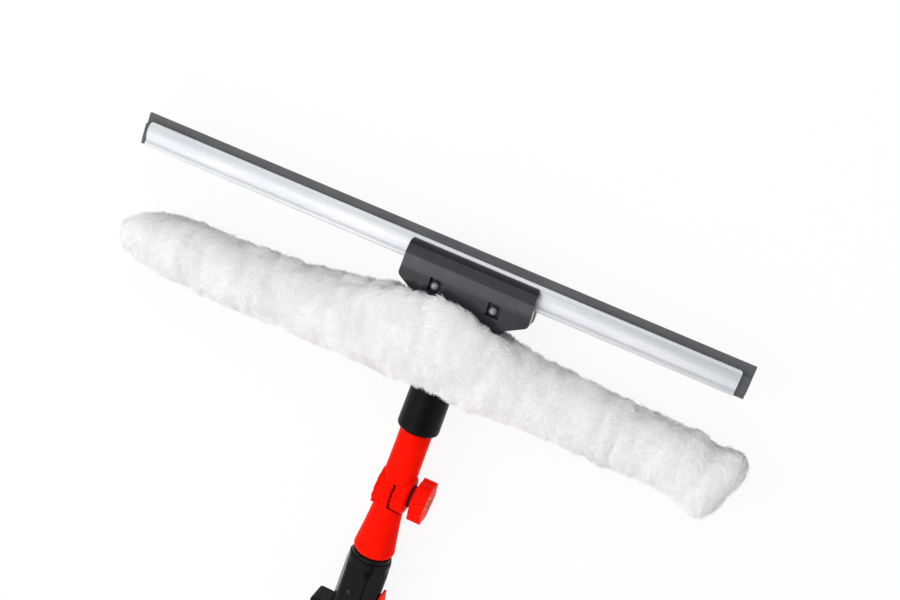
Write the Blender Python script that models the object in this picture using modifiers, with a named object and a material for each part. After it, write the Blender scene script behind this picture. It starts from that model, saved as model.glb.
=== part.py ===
# Window squeegee with a plush washer sleeve, a swivel joint and a telescopic handle.
# It lies on its back: +X runs along the blade, +Y points from the grip to the blade, +Z is up.
# Lengths are in metres.
import bpy
import bmesh
from math import asin, atan2, copysign, cos, hypot, pi, radians, sin, sqrt
from mathutils import Matrix, Vector

# General clearances and counts
GAP = 0.0003                    # between touching pieces
OVERRUN = 0.004                 # how far a cutter runs past what it cuts
WELD = 0.000002
FINE_STEPS = 36
COARSE_STEPS = 20

# Height of the washer bar's axis over the floor, which the plush sleeve rests on
AXIS_HEIGHT = 0.025

# Squeegee blade, measured from the washer bar's axis
BLADE_LENGTH = 0.450
BLADE_LEFT_REACH = 0.257        # from the handle's axis to the blade's left end
BLADE_TIP = 0.0842              # working edge
BLADE_LIP_THICKNESS = 0.0024
BLADE_ROOT_THICKNESS = 0.0070
BLADE_ROOT_TOP = 0.0764
BLADE_ROOT_BOTTOM = 0.0645
BLADE_EDGE_BEVEL = 0.0003
BLADE_STOP_ROOM = 0.0004        # end stops stand this far above the channel's bottom
BLADE_STOP_INSET = 0.0002       # and this far inside the root's sides

# Aluminium channel
CHANNEL_LENGTH = 0.439
CHANNEL_LEFT_OVERHANG = 0.004   # blade that stands out past the channel's left end
CHANNEL_TOP = 0.0788
CHANNEL_BOTTOM = 0.0612
CHANNEL_BELLY = 0.0064          # half depth at the bulging face
CHANNEL_RIM = 0.0036            # half depth at the upper rim
CHANNEL_GROOVE = 0.0046         # half depth at the groove over the lower bead
CHANNEL_BEAD = 0.0057           # half depth of the lower bead
CHANNEL_BEAD_HEIGHT = 0.0042
CHANNEL_LIP_DEPTH = 0.0016      # how far the rims reach down beside the blade
CHANNEL_END_ROUND = 0.0015

# The two jaws that pinch the channel
JAW_TOP_HALF_WIDTH = 0.0465
JAW_HALF_WIDTH = 0.0480
JAW_FOOT_HALF_WIDTH = 0.0330
JAW_TOP = 0.0772
JAW_SHOULDER = 0.0500           # where the lower corners start
JAW_FOOT_START = 0.0412         # where the lower corners end
JAW_FOOT = 0.0380
JAW_PLATE = 0.0098              # half depth at the screws
JAW_LEAN = 0.10                 # rise of the flat part towards the channel
JAW_SWELL_START = 0.0540        # where the flat part starts to swell into the bulge
JAW_SWELL_END = 0.0665
JAW_BULGE_RADIUS = 0.0122
JAW_BULGE_CENTRE = 0.0685
JAW_CORNER = 0.0025

# Jaw screws and nuts
JAW_SCREW_SPACING = 0.0430
JAW_SCREW_HEIGHT = 0.0510
JAW_SCREW_RADIUS = 0.0019
JAW_SCREW_HEAD_RADIUS = 0.0035
JAW_SCREW_HEAD_HEIGHT = 0.0038
JAW_SCREW_HOLE_RADIUS = 0.0022
JAW_POCKET_DEPTH = 0.0044
JAW_POCKET_REACH = 0.0040       # from the screw's axis to the pocket's left and lower side
JAW_POCKET_WIDTH = 0.0094
JAW_POCKET_LENGTH = 0.0100
JAW_NUT_HALF_FLATS = 0.0035
JAW_NUT_THICKNESS = 0.0028

# Washer bar with its socket for the swivel
TAB_HALF_THICKNESS = 0.0026
TAB_HALF_WIDTH = 0.0310
TAB_TOP = 0.0575
SOCKET_MOUTH = 0.0520           # below the bar's axis
SOCKET_DEPTH = 0.0320
SOCKET_MOUTH_RADIUS = 0.0153
SOCKET_RADIUS = 0.0145
SOCKET_EDGE = 0.0028
HUB_TOP = 0.0170
BAR_HALF_LENGTH = 0.2000
BAR_RADIUS = 0.0100
BAR_RIB_RADIUS = 0.0113
BAR_RIB_WIDTH = 0.0040
BAR_RIBS = 4                    # on each arm

# Plush washer sleeve
SLEEVE_LEFT_ROOM = 0.0560       # fur past the bar's ends
SLEEVE_RIGHT_ROOM = 0.0130
SLEEVE_LEFT_REACH = BAR_HALF_LENGTH + SLEEVE_LEFT_ROOM
SLEEVE_RIGHT_REACH = BAR_HALF_LENGTH + SLEEVE_RIGHT_ROOM
SLEEVE_RADIUS = 0.0255
SLEEVE_CAVITY_RADIUS = 0.0118
SLEEVE_TAPE_THICKNESS = 0.0016
SLEEVE_TAPE_HALF_HEIGHT = 0.0080
SLEEVE_TAPE_HALF_WIDTH = 0.0110
SLEEVE_TAPE_ROOM = 0.0030

# Swivel, measured from its pivot, which lies this far below the bar's axis
PIVOT_DROP = 0.1010
ARM_HALF_WIDTH = 0.01175        # half width across the pivot's direction
ARM_HALF_THICKNESS = 0.0105     # half thickness beside the knuckles
KNUCKLE_SPLIT = 0.0012          # plane between the knuckles, to the right of the handle's axis
NECK_SHIFT = 0.0005             # lower arm's neck, to the left of the handle's axis
UPPER_FRONT = 0.0152            # reach of the upper arm's front at the pivot
UPPER_FRONT_SHOULDER = 0.0080
UPPER_NECK_THICKNESS = 0.0122
UPPER_END_WIDTH = 0.0104        # half width where the arm runs out on its knuckle
LEFT_KNUCKLE_RADIUS = 0.0150
LEFT_KNUCKLE_VALLEY = 0.0136
LEFT_FLANGE_RADIUS = 0.0153
LEFT_FLANGE_WIDTH = 0.0022
LEFT_COLLAR_RADIUS = 0.0147
LEFT_COLLAR_WIDTH = 0.0042      # flange and the lower ring beside it
LEFT_KNUCKLE_FACE = 0.0122
LEFT_KNUCKLE_RIBS = 12
RIGHT_KNUCKLE_RADIUS = 0.0146
RIGHT_KNUCKLE_FACE = 0.0122
RIGHT_KNUCKLE_ROUND = 0.0022
KNUCKLE_CLEARANCE_RADIUS = 0.0156
TOOTH_HEIGHT = 0.0008
TOOTH_INNER_RADIUS = 0.0060
TOOTH_OUTER_RADIUS = 0.0135
TEETH = 18
TOOTH_PHASE_SHARE = 0.3
BELL_RADIUS = 0.0154
BELL_WAIST_RADIUS = 0.0115
BELL_WAIST_END = 0.0165
BELL_WIDEST = 0.0485
BELL_BOTTOM = 0.0525
SPIGOT_RADIUS = 0.0086
SPIGOT_END = 0.0900
FERRULE_SCREW_HEIGHT = 0.0360   # below the bar's axis
FERRULE_SCREW_RADIUS = 0.0016
FERRULE_SCREW_LENGTH = 0.0110
FERRULE_SCREW_HEAD_RADIUS = 0.0032
FERRULE_SCREW_HEAD_HEIGHT = 0.0020

# Swivel bolt, washer, knob and nut
BOLT_RADIUS = 0.0030
BOLT_HEAD_HALF_FLATS = 0.0050
BOLT_HEAD_HEIGHT = 0.0040
BOLT_END_DEPTH = 0.0008         # bolt's end below the knob's face
THRUST_WASHER_RADIUS = 0.0085
THRUST_WASHER_THICKNESS = 0.0012
KNOB_RADIUS = 0.0160
KNOB_LOBES = 6
KNOB_LOBE_DEPTH = 0.0017
KNOB_INNER_FACE = 0.0162
KNOB_THICKNESS = 0.0100
KNOB_NECK_RADIUS = 0.0080
KNOB_EDGE_BEVEL = 0.0010
KNOB_NUT_HALF_FLATS = 0.0050
KNOB_NUT_THICKNESS = 0.0050

# Hexagonal pole tip, measured down the handle from the pivot
TIP_RING_TOP = 0.0560
TIP_NECK_LENGTH = 0.0032        # from the rim up to the bell
TIP_NECK_RADIUS = 0.0147
TIP_RING_RADIUS = 0.0158
TIP_MOUTH = 0.0572
TIP_MOUTH_RADIUS = 0.0163
TIP_COLLAR_END = 0.0618
TIP_CHAMFER_END = 0.0668
TIP_CORNER_RADIUS = 0.0171
TIP_HALF_FLATS = 0.0155
TIP_TURN = 11                   # degrees that the hexagon is turned to the left
TIP_PHASE = 30 - TIP_TURN
TIP_BOTTOM = 0.1022
TIP_SCREW_AT = 0.0826
TIP_SCREW_RADIUS = 0.0013
TIP_SCREW_LENGTH = 0.0080
TIP_SCREW_HEAD_RADIUS = 0.0022
TIP_SCREW_HEAD_HEIGHT = 0.0010

# Telescopic tubes
INNER_TUBE_RADIUS = 0.0110
INNER_TUBE_WALL = 0.0010
INNER_TUBE_TOP = 0.0580
INNER_TUBE_END_ROOM = 0.0280    # from its lower end to the cap
OUTER_TUBE_RADIUS = 0.0127
OUTER_TUBE_WALL = 0.0010
OUTER_TUBE_TOP = 0.1230
OUTER_TUBE_SEAT = 0.0040        # how far it reaches into the cap
KEY_GROOVE_DEPTH = 0.0010
KEY_GROOVE_ANGLE = 20           # degrees that the groove takes up on the tube's back
BUSH_LENGTH = 0.0140
BUSH_SPIGOT_LENGTH = 0.0120
BUSH_SPIGOT_RADIUS = 0.0084

# Lever lock on the outer tube
HOUSING_TOP = 0.1030
HOUSING_BOTTOM = 0.1480
HOUSING_RADIUS = 0.0160
HOUSING_GUIDE_END = 0.1215
LUG_REACH = 0.0300
LUG_HALF_THICKNESS = 0.0085
LUG_ROUND = 0.0030
SLIT_WIDTH = 0.0016
CHEEK_REACH = 0.0262
CHEEK_HALF_DEPTH = 0.0100
CHEEK_BOTTOM = 0.1240
CHEEK_ROUND = 0.0030
LEVER_HALF_WIDTH = 0.0058
LEVER_PIN_X = 0.0212
LEVER_PIN_AT = 0.1130
LEVER_PIN_RADIUS = 0.0015
CAM_RADIUS = 0.0046
CAM_OFFSET = 0.0009
LEVER_TIP_AT = 0.0812
LEVER_INNER_FACE = 0.0171
LEVER_OUTER_FACE = 0.0216
LEVER_TIP_THICKNESS = 0.0016
PAD_HALF_WIDTH = 0.0056
PAD_HALF_LENGTH = 0.0075
PAD_ROOM = 0.0006               # how far the pad backs off when the lever opens
HOUSING_SCREW_X = 0.0235
HOUSING_SCREW_AT = 0.1360
HOUSING_SCREW_RADIUS = 0.0018
HOUSING_SCREW_HEAD_RADIUS = 0.0034
HOUSING_SCREW_HEAD_HEIGHT = 0.0024
HOUSING_NUT_HALF_FLATS = 0.0032
HOUSING_NUT_THICKNESS = 0.0026

# Grip and end cap
GRIP_TOP = 0.2150
GRIP_RADIUS = 0.0160
GRIP_END_ROUND = 0.0040
GRIP_GROOVE_DEPTH = 0.0008
GRIP_GROOVE_WIDTH = 0.0040
GRIP_GROOVES = 8
CAP_TOP = 0.3520
CAP_HEIGHT = 0.0240
CAP_RADIUS = 0.0170
CAP_EDGE = 0.0020
CAP_PLUG_LENGTH = 0.0120
CAP_PLUG_RADIUS = 0.0100
HANG_HOLE_RADIUS = 0.0045
HANG_HOLE_DEPTH = 0.0135        # below the cap's top

# Worked out from the sizes above
INNER_TUBE_BOTTOM = CAP_TOP - INNER_TUBE_END_ROOM
OUTER_TUBE_BOTTOM = CAP_TOP + OUTER_TUBE_SEAT
CAP_BOTTOM = CAP_TOP + CAP_HEIGHT
CAP_PLUG_TOP = CAP_TOP - CAP_PLUG_LENGTH
HANG_HOLE_AT = CAP_TOP + HANG_HOLE_DEPTH
BLADE_LEFT = -BLADE_LEFT_REACH
BLADE_RIGHT = BLADE_LEFT + BLADE_LENGTH
CHANNEL_LEFT = BLADE_LEFT + CHANNEL_LEFT_OVERHANG
REST_REACH = CAP_BOTTOM - CAP_EDGE
REST_TILT = asin(AXIS_HEIGHT / hypot(REST_REACH, CAP_RADIUS)) - atan2(CAP_RADIUS, REST_REACH)
FAR_REACH = CAP_BOTTOM * cos(REST_TILT) + (CAP_RADIUS - CAP_EDGE) * sin(REST_TILT)
HUB_X = (max(BLADE_LEFT_REACH, SLEEVE_LEFT_REACH) - max(BLADE_RIGHT, SLEEVE_RIGHT_REACH)) / 2
HUB_Y = (PIVOT_DROP + FAR_REACH - BLADE_TIP) / 2
BOLT_HEAD_OUTER = LEFT_KNUCKLE_FACE - GAP
THRUST_WASHER_FACE = RIGHT_KNUCKLE_FACE + GAP
KNOB_NECK_FACE = THRUST_WASHER_FACE + THRUST_WASHER_THICKNESS + GAP
KNOB_OUTER_FACE = KNOB_INNER_FACE + KNOB_THICKNESS
BOLT_END = KNOB_OUTER_FACE - BOLT_END_DEPTH

for old in list(bpy.data.objects):
    bpy.data.objects.remove(old, do_unlink=True)

parts = bpy.data.collections.new("window_squeegee")
cutters = bpy.data.collections.new("cutters")
bpy.context.scene.collection.children.link(parts)
bpy.context.scene.collection.children.link(cutters)

# Turns that lay a shape's own Z axis along X or Y, or a section in the YZ plane
ALONG_X = Matrix.Rotation(pi / 2, 4, "Y")
ALONG_Y = Matrix.Rotation(-pi / 2, 4, "X")
SECTION = Matrix(((0, 0, 1, 0), (1, 0, 0, 0), (0, 1, 0, 0), (0, 0, 0, 1)))
UPRIGHT = Matrix.Identity(4)
FACET = Matrix.Rotation(-radians(TIP_TURN), 4, "Y")


def frame(name, parent, location, tilt=0):
    empty = bpy.data.objects.new(name, None)
    empty.empty_display_size = AXIS_HEIGHT
    parts.objects.link(empty)
    empty.parent = parent
    empty.location = location
    empty.rotation_euler = (tilt, 0, 0)
    return empty


head_frame = frame("head_frame", None, (HUB_X, HUB_Y, AXIS_HEIGHT))
handle_frame = frame("handle_frame", head_frame, (0, -PIVOT_DROP, 0), REST_TILT)
lever_frame = frame("lever_frame", handle_frame, (LEVER_PIN_X, -LEVER_PIN_AT, 0))


def material(name, colour, roughness, metallic=0.0):
    mat = bpy.data.materials.new(name)
    mat.use_nodes = True
    shader = mat.node_tree.nodes["Principled BSDF"]
    shader.inputs["Base Color"].default_value = (*colour, 1)
    shader.inputs["Roughness"].default_value = roughness
    shader.inputs["Metallic"].default_value = metallic
    return mat


def add_object(name, mesh, parent, look=None):
    obj = bpy.data.objects.new(name, mesh)
    obj.parent = parent
    if look is None:
        cutters.objects.link(obj)
        obj.hide_render = True
        obj.display_type = "WIRE"
    else:
        parts.objects.link(obj)
        mesh.materials.append(material(name, *look))
        mesh.shade_smooth()
        mesh.set_sharp_from_angle(angle=radians(35))
    return obj


def box(name, low, high, parent, look=None):
    low, high = Vector(low), Vector(high)
    bm = bmesh.new()
    bmesh.ops.create_cube(bm, size=1)
    bmesh.ops.scale(bm, vec=high - low, verts=bm.verts)
    bmesh.ops.translate(bm, vec=(high + low) / 2, verts=bm.verts)
    mesh = bpy.data.meshes.new(name)
    bm.to_mesh(mesh)
    bm.free()
    return add_object(name, mesh, parent, look)


def rod(name, radius, start, end, turn, parent, look=None, centre=(0, 0, 0), sides=COARSE_STEPS, phase=0):
    """A straight round or many-sided bar from start to end along its turned axis."""
    bm = bmesh.new()
    bmesh.ops.create_cone(bm, cap_ends=True, segments=sides, radius1=radius, radius2=radius,
                          depth=abs(end - start))
    bmesh.ops.rotate(bm, cent=(0, 0, 0), matrix=Matrix.Rotation(phase, 3, "Z"), verts=bm.verts)
    bmesh.ops.translate(bm, vec=(0, 0, (start + end) / 2), verts=bm.verts)
    bm.transform(Matrix.Translation(centre) @ turn)
    mesh = bpy.data.meshes.new(name)
    bm.to_mesh(mesh)
    bm.free()
    return add_object(name, mesh, parent, look)


def hexagon(name, half_flats, start, end, turn, parent, look=None, centre=(0, 0, 0), phase=0):
    return rod(name, half_flats / cos(pi / 6), start, end, turn, parent, look, centre, sides=6, phase=phase)


def turned(name, profile, turn, parent, look=None, centre=(0, 0, 0), closed=False, steps=FINE_STEPS):
    """A Screw-turned shape: profile points are (radius, place along the axis), outer side top to bottom."""
    bm = bmesh.new()
    points = [bm.verts.new((radius, 0, along)) for radius, along in profile]
    for first, second in zip(points, points[1:]):
        bm.edges.new((first, second))
    if closed:
        bm.edges.new((points[-1], points[0]))
    mesh = bpy.data.meshes.new(name + "_profile")
    bm.to_mesh(mesh)
    bm.free()
    source = bpy.data.objects.new(name + "_profile", mesh)
    cutters.objects.link(source)
    screw = source.modifiers.new("turn", "SCREW")
    screw.axis = "Z"
    screw.angle = 2 * pi
    screw.steps = steps
    screw.render_steps = steps
    screw.use_merge_vertices = True
    screw.merge_threshold = WELD
    return from_source(name, source, Matrix.Translation(centre) @ turn, parent, look)


def from_source(name, source, matrix, parent, look):
    """The evaluated shape of a helper object as a mesh object of its own."""
    graph = bpy.context.evaluated_depsgraph_get()
    mesh = bpy.data.meshes.new_from_object(source.evaluated_get(graph))
    mesh.name = name
    bm = bmesh.new()
    bm.from_mesh(mesh)
    bmesh.ops.remove_doubles(bm, verts=bm.verts, dist=WELD)
    bm.transform(matrix)
    bm.to_mesh(mesh)
    bm.free()
    mesh.materials.clear()
    bpy.data.objects.remove(source, do_unlink=True)
    return add_object(name, mesh, parent, look)


def plate(name, outlines, start, end, turn, parent, look=None, bevel=0):
    """A flat outline, with any inner outlines as holes, drawn out from start to end."""
    curve = bpy.data.curves.new(name + "_outline", "CURVE")
    curve.dimensions = "2D"
    curve.fill_mode = "BOTH"
    curve.extrude = (end - start) / 2
    for outline in outlines:
        spline = curve.splines.new("POLY")
        spline.points.add(len(outline) - 1)
        for point, (across, up) in zip(spline.points, outline):
            point.co = (across, up, 0, 1)
        spline.use_cyclic_u = True
    source = bpy.data.objects.new(name + "_outline", curve)
    cutters.objects.link(source)
    middle = Matrix.Translation((0, 0, (start + end) / 2))
    obj = from_source(name, source, turn @ middle, parent, look)
    if bevel:
        round_edges(obj, bevel)
    return obj


def round_edges(obj, width, segments=2, angle=40):
    bevel = obj.modifiers.new("edges", "BEVEL")
    bevel.width = width
    bevel.segments = segments
    bevel.limit_method = "ANGLE"
    bevel.angle_limit = radians(angle)
    bevel.miter_outer = "MITER_ARC"
    return obj


def combine(obj, operation, others):
    for other in others:
        step = obj.modifiers.new(operation.lower() + "_" + other.name, "BOOLEAN")
        step.operation = operation
        step.solver = "EXACT"
        step.object = other
    return obj


def cut(obj, *others):
    return combine(obj, "DIFFERENCE", others)


def join(obj, *others):
    return combine(obj, "UNION", others)


def keep_common(obj, *others):
    return combine(obj, "INTERSECT", others)


def arc(centre, radius, start, end, count):
    """Points on an arc in the plane of an outline, angles in degrees."""
    angles = [radians(start + (end - start) * index / count) for index in range(count + 1)]
    return [(centre[0] + radius * cos(angle), centre[1] + radius * sin(angle)) for angle in angles]


def rounded_outline(corners, radius, count=3):
    """An outline whose corners are cut back by radius and joined by a smooth curve."""
    points = []
    for index, corner in enumerate(corners):
        corner = Vector(corner)
        before = (Vector(corners[index - 1]) - corner).normalized()
        after = (Vector(corners[(index + 1) % len(corners)]) - corner).normalized()
        first, last = corner + before * radius, corner + after * radius
        for step in range(count + 1):
            share = step / count
            point = first * (1 - share) ** 2 + corner * 2 * share * (1 - share) + last * share ** 2
            points.append(tuple(point))
    return points


def loft(name, rings, parent, look=None):
    """A closed body through rings of equally many points, with both ends capped."""
    bm = bmesh.new()
    edges = []
    for ring in rings:
        points = [bm.verts.new(point) for point in ring]
        following = points[1:] + points[:1]
        edges.append([bm.edges.new((first, second)) for first, second in zip(points, following)])
    for first, second in zip(edges, edges[1:]):
        bmesh.ops.bridge_loops(bm, edges=first + second)
    for ends in (edges[0], edges[-1]):
        bmesh.ops.contextual_create(bm, geom=ends)
    bmesh.ops.recalc_face_normals(bm, faces=bm.faces)
    mesh = bpy.data.meshes.new(name)
    bm.to_mesh(mesh)
    bm.free()
    return add_object(name, mesh, parent, look)


# Finishes: colour, roughness, metallic
dark_rubber = ((0.095, 0.095, 0.10), 0.6)
satin_aluminium = ((0.80, 0.80, 0.82), 0.28, 1.0)
grey_plastic = ((0.045, 0.042, 0.050), 0.38)
black_plastic = ((0.012, 0.012, 0.013), 0.35)
red_plastic = ((0.86, 0.012, 0.002), 0.32)
steel = ((0.60, 0.60, 0.62), 0.3, 1.0)
brass = ((0.72, 0.52, 0.20), 0.35, 1.0)
white_plush = ((0.86, 0.85, 0.84), 0.95)
black_tape = ((0.02, 0.02, 0.02), 0.9)
black_foam = ((0.020, 0.020, 0.021), 0.85)


def build_blade():
    """Rubber strip: a thin lip over a thicker root, drawn along X, with a deeper stop at each end."""
    lip, root = BLADE_LIP_THICKNESS / 2, BLADE_ROOT_THICKNESS / 2
    section = [(BLADE_TIP, -lip), (BLADE_TIP, lip), (BLADE_ROOT_TOP, lip), (BLADE_ROOT_TOP, root),
               (BLADE_ROOT_BOTTOM, root), (BLADE_ROOT_BOTTOM, -root), (BLADE_ROOT_TOP, -root),
               (BLADE_ROOT_TOP, -lip)]
    rubber = plate("squeegee_rubber", [section], BLADE_LEFT, BLADE_RIGHT, SECTION, head_frame, dark_rubber,
                   BLADE_EDGE_BEVEL)
    depth = root - BLADE_STOP_INSET
    ends = ((BLADE_LEFT + BLADE_STOP_INSET, CHANNEL_LEFT - GAP),
            (CHANNEL_LEFT + CHANNEL_LENGTH + GAP, BLADE_RIGHT - BLADE_STOP_INSET))
    for first, last in ends:
        join(rubber, box("blade_stop", (first, CHANNEL_BOTTOM + BLADE_STOP_ROOM, -depth),
                         (last, (BLADE_ROOT_BOTTOM + BLADE_ROOT_TOP) / 2, depth), head_frame))


def build_channel():
    """Extruded channel, open at the top, with a bulging face, a groove and a lower bead."""
    face_top = CHANNEL_TOP - CHANNEL_RIM / 2
    groove = CHANNEL_BOTTOM + CHANNEL_BEAD_HEIGHT
    belly_bottom = groove + (CHANNEL_BELLY - CHANNEL_GROOVE) / 2
    steps = 7
    side = [(CHANNEL_TOP, BLADE_LIP_THICKNESS / 2 + GAP), (CHANNEL_TOP, CHANNEL_RIM)]
    for index in range(steps + 1):
        share = index / steps
        along = face_top + (belly_bottom - face_top) * share
        rim_part = CHANNEL_RIM + (CHANNEL_GROOVE - CHANNEL_RIM) * share
        swell = sin(pi * (0.18 + 0.74 * share))
        side.append((along, rim_part + (CHANNEL_BELLY - rim_part) * swell))
    side.append((groove, CHANNEL_GROOVE))
    side += arc((groove - CHANNEL_BEAD_HEIGHT / 2, CHANNEL_BEAD - CHANNEL_BEAD_HEIGHT / 2),
                CHANNEL_BEAD_HEIGHT / 2, 50, 180, 5)
    back = [(along, -depth) for along, depth in reversed(side)]
    cavity = BLADE_ROOT_THICKNESS / 2 + GAP
    floor = BLADE_ROOT_BOTTOM - GAP
    lip_end = CHANNEL_TOP - CHANNEL_LIP_DEPTH
    ceiling = BLADE_ROOT_TOP + GAP
    slot = BLADE_LIP_THICKNESS / 2 + GAP
    inside = [(lip_end, -slot), (ceiling, -cavity), (floor, -cavity), (floor, cavity), (ceiling, cavity),
              (lip_end, slot)]
    channel = plate("squeegee_channel", [side + back + inside], CHANNEL_LEFT, CHANNEL_LEFT + CHANNEL_LENGTH,
                    SECTION, head_frame, satin_aluminium)
    right, low = CHANNEL_LEFT + CHANNEL_LENGTH, CHANNEL_BOTTOM - OVERRUN
    ends = [(CHANNEL_LEFT, low), (right, low), (right, CHANNEL_TOP), (CHANNEL_LEFT, CHANNEL_TOP)]
    corners = plate("channel_outline", [rounded_outline(ends, CHANNEL_END_ROUND, 2)],
                    -CHANNEL_BELLY - OVERRUN, CHANNEL_BELLY + OVERRUN, UPRIGHT, head_frame)
    keep_common(channel, corners)


def jaw_section():
    """Half of the clamp's section, on the +Z side: a leaning plate that swells into the bulge."""
    inner = TAB_HALF_THICKNESS + GAP
    bead, belly = CHANNEL_BEAD + GAP, CHANNEL_BELLY + GAP
    groove = CHANNEL_BOTTOM + CHANNEL_BEAD_HEIGHT
    floor = CHANNEL_BOTTOM - GAP - WELD
    top_reach = JAW_TOP - JAW_BULGE_CENTRE
    top_angle = atan2(sqrt(JAW_BULGE_RADIUS ** 2 - top_reach ** 2), top_reach)
    low_angle = pi / 2 + asin((JAW_BULGE_CENTRE - JAW_SWELL_END) / JAW_BULGE_RADIUS)
    run = JAW_SWELL_END - JAW_SWELL_START
    start_depth, end_depth = plate_depth(JAW_SWELL_START), JAW_BULGE_RADIUS * sin(low_angle)
    end_slope = (JAW_BULGE_CENTRE - JAW_SWELL_END) / end_depth
    outer = [(JAW_FOOT, plate_depth(JAW_FOOT))]
    steps = 5
    for index in range(steps):
        share = index / steps
        depth = start_depth * (1 + 2 * share) * (1 - share) ** 2 + end_depth * share ** 2 * (3 - 2 * share)
        depth += run * share * (1 - share) * (JAW_LEAN * (1 - share) - end_slope * share)
        outer.append((JAW_SWELL_START + run * share, depth))
    steps = 8
    for index in range(steps + 1):
        angle = low_angle + (top_angle - low_angle) * index / steps
        outer.append((JAW_BULGE_CENTRE + JAW_BULGE_RADIUS * cos(angle), JAW_BULGE_RADIUS * sin(angle)))
    mouth = CHANNEL_RIM + (CHANNEL_BELLY - CHANNEL_RIM) * 0.92 + GAP
    inside = [(JAW_TOP, mouth), (JAW_TOP - CHANNEL_RIM, belly), (groove + GAP + GAP, belly), (groove, bead),
              (floor, bead), (floor, inner), (JAW_FOOT, inner)]
    return outer + inside


def plate_depth(along):
    return JAW_PLATE + (along - JAW_SCREW_HEIGHT) * JAW_LEAN


def jaw_outline():
    half = [(JAW_FOOT_HALF_WIDTH, JAW_FOOT), (JAW_FOOT_HALF_WIDTH, JAW_FOOT_START),
            (JAW_HALF_WIDTH, JAW_SHOULDER), (JAW_TOP_HALF_WIDTH, JAW_TOP + GAP)]
    return half + [(-across, up) for across, up in reversed(half)]


def build_jaws():
    """Front and rear jaw: the same section, cut to the clamp's outline, then pocketed and drilled."""
    section = jaw_section()
    depth = JAW_BULGE_RADIUS + OVERRUN
    outline = plate("jaw_outline", [rounded_outline(jaw_outline(), JAW_CORNER)], -depth, depth, UPRIGHT,
                    head_frame)
    for name, side in (("clamp_front_jaw", 1), ("clamp_rear_jaw", -1)):
        points = [(along, side * up) for along, up in section]
        jaw = plate(name, [points], -JAW_HALF_WIDTH - OVERRUN, JAW_HALF_WIDTH + OVERRUN, SECTION, head_frame,
                    grey_plastic)
        keep_common(jaw, outline)
        for across in (-JAW_SCREW_SPACING / 2, JAW_SCREW_SPACING / 2):
            hole = rod(name + "_hole", JAW_SCREW_HOLE_RADIUS, -depth, depth, UPRIGHT, head_frame,
                       centre=(across, JAW_SCREW_HEIGHT, 0))
            cut(jaw, hole)
            if side > 0:
                left, low = across - JAW_POCKET_REACH, JAW_SCREW_HEIGHT - JAW_POCKET_REACH
                pocket = box("screw_pocket", (left, low, JAW_PLATE - JAW_POCKET_DEPTH),
                             (left + JAW_POCKET_WIDTH, low + JAW_POCKET_LENGTH, depth), head_frame)
            else:
                pocket = hexagon("nut_pocket", JAW_NUT_HALF_FLATS + GAP, -depth,
                                 GAP - JAW_PLATE + JAW_NUT_THICKNESS, UPRIGHT, head_frame,
                                 centre=(across, JAW_SCREW_HEIGHT, 0))
            cut(jaw, pocket)
    head_seat = JAW_PLATE - JAW_POCKET_DEPTH + GAP
    for side, across in (("left", -JAW_SCREW_SPACING / 2), ("right", JAW_SCREW_SPACING / 2)):
        place = (across, JAW_SCREW_HEIGHT, 0)
        profile = screw_profile(JAW_SCREW_RADIUS, head_seat + JAW_PLATE, JAW_SCREW_HEAD_RADIUS,
                                JAW_SCREW_HEAD_HEIGHT, head_seat)
        turned("jaw_screw_" + side, profile, UPRIGHT, head_frame, steel, centre=place, steps=COARSE_STEPS)
        drilled_nut("jaw_nut_" + side, JAW_NUT_HALF_FLATS, -JAW_PLATE, -JAW_PLATE + JAW_NUT_THICKNESS,
                    JAW_SCREW_RADIUS + GAP, UPRIGHT, head_frame, place, steel)


def screw_profile(radius, length, head_radius, head_height, seat):
    """A domed head over a shank that ends in a short cone; the head's underside is at seat."""
    dome = [(head_radius * sin(radians(angle)), seat + head_height * cos(radians(angle)))
            for angle in (0, 25, 50, 72, 90)]
    end = seat - length
    return dome + [(head_radius, seat), (radius, seat), (radius, end + radius), (0, end)]


def drilled_nut(name, half_flats, start, end, bore, turn, parent, centre, look):
    nut = hexagon(name, half_flats, start, end, turn, parent, look, centre)
    return cut(nut, rod(name + "_bore", bore, start - OVERRUN, end + OVERRUN, turn, parent, centre=centre))


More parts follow.
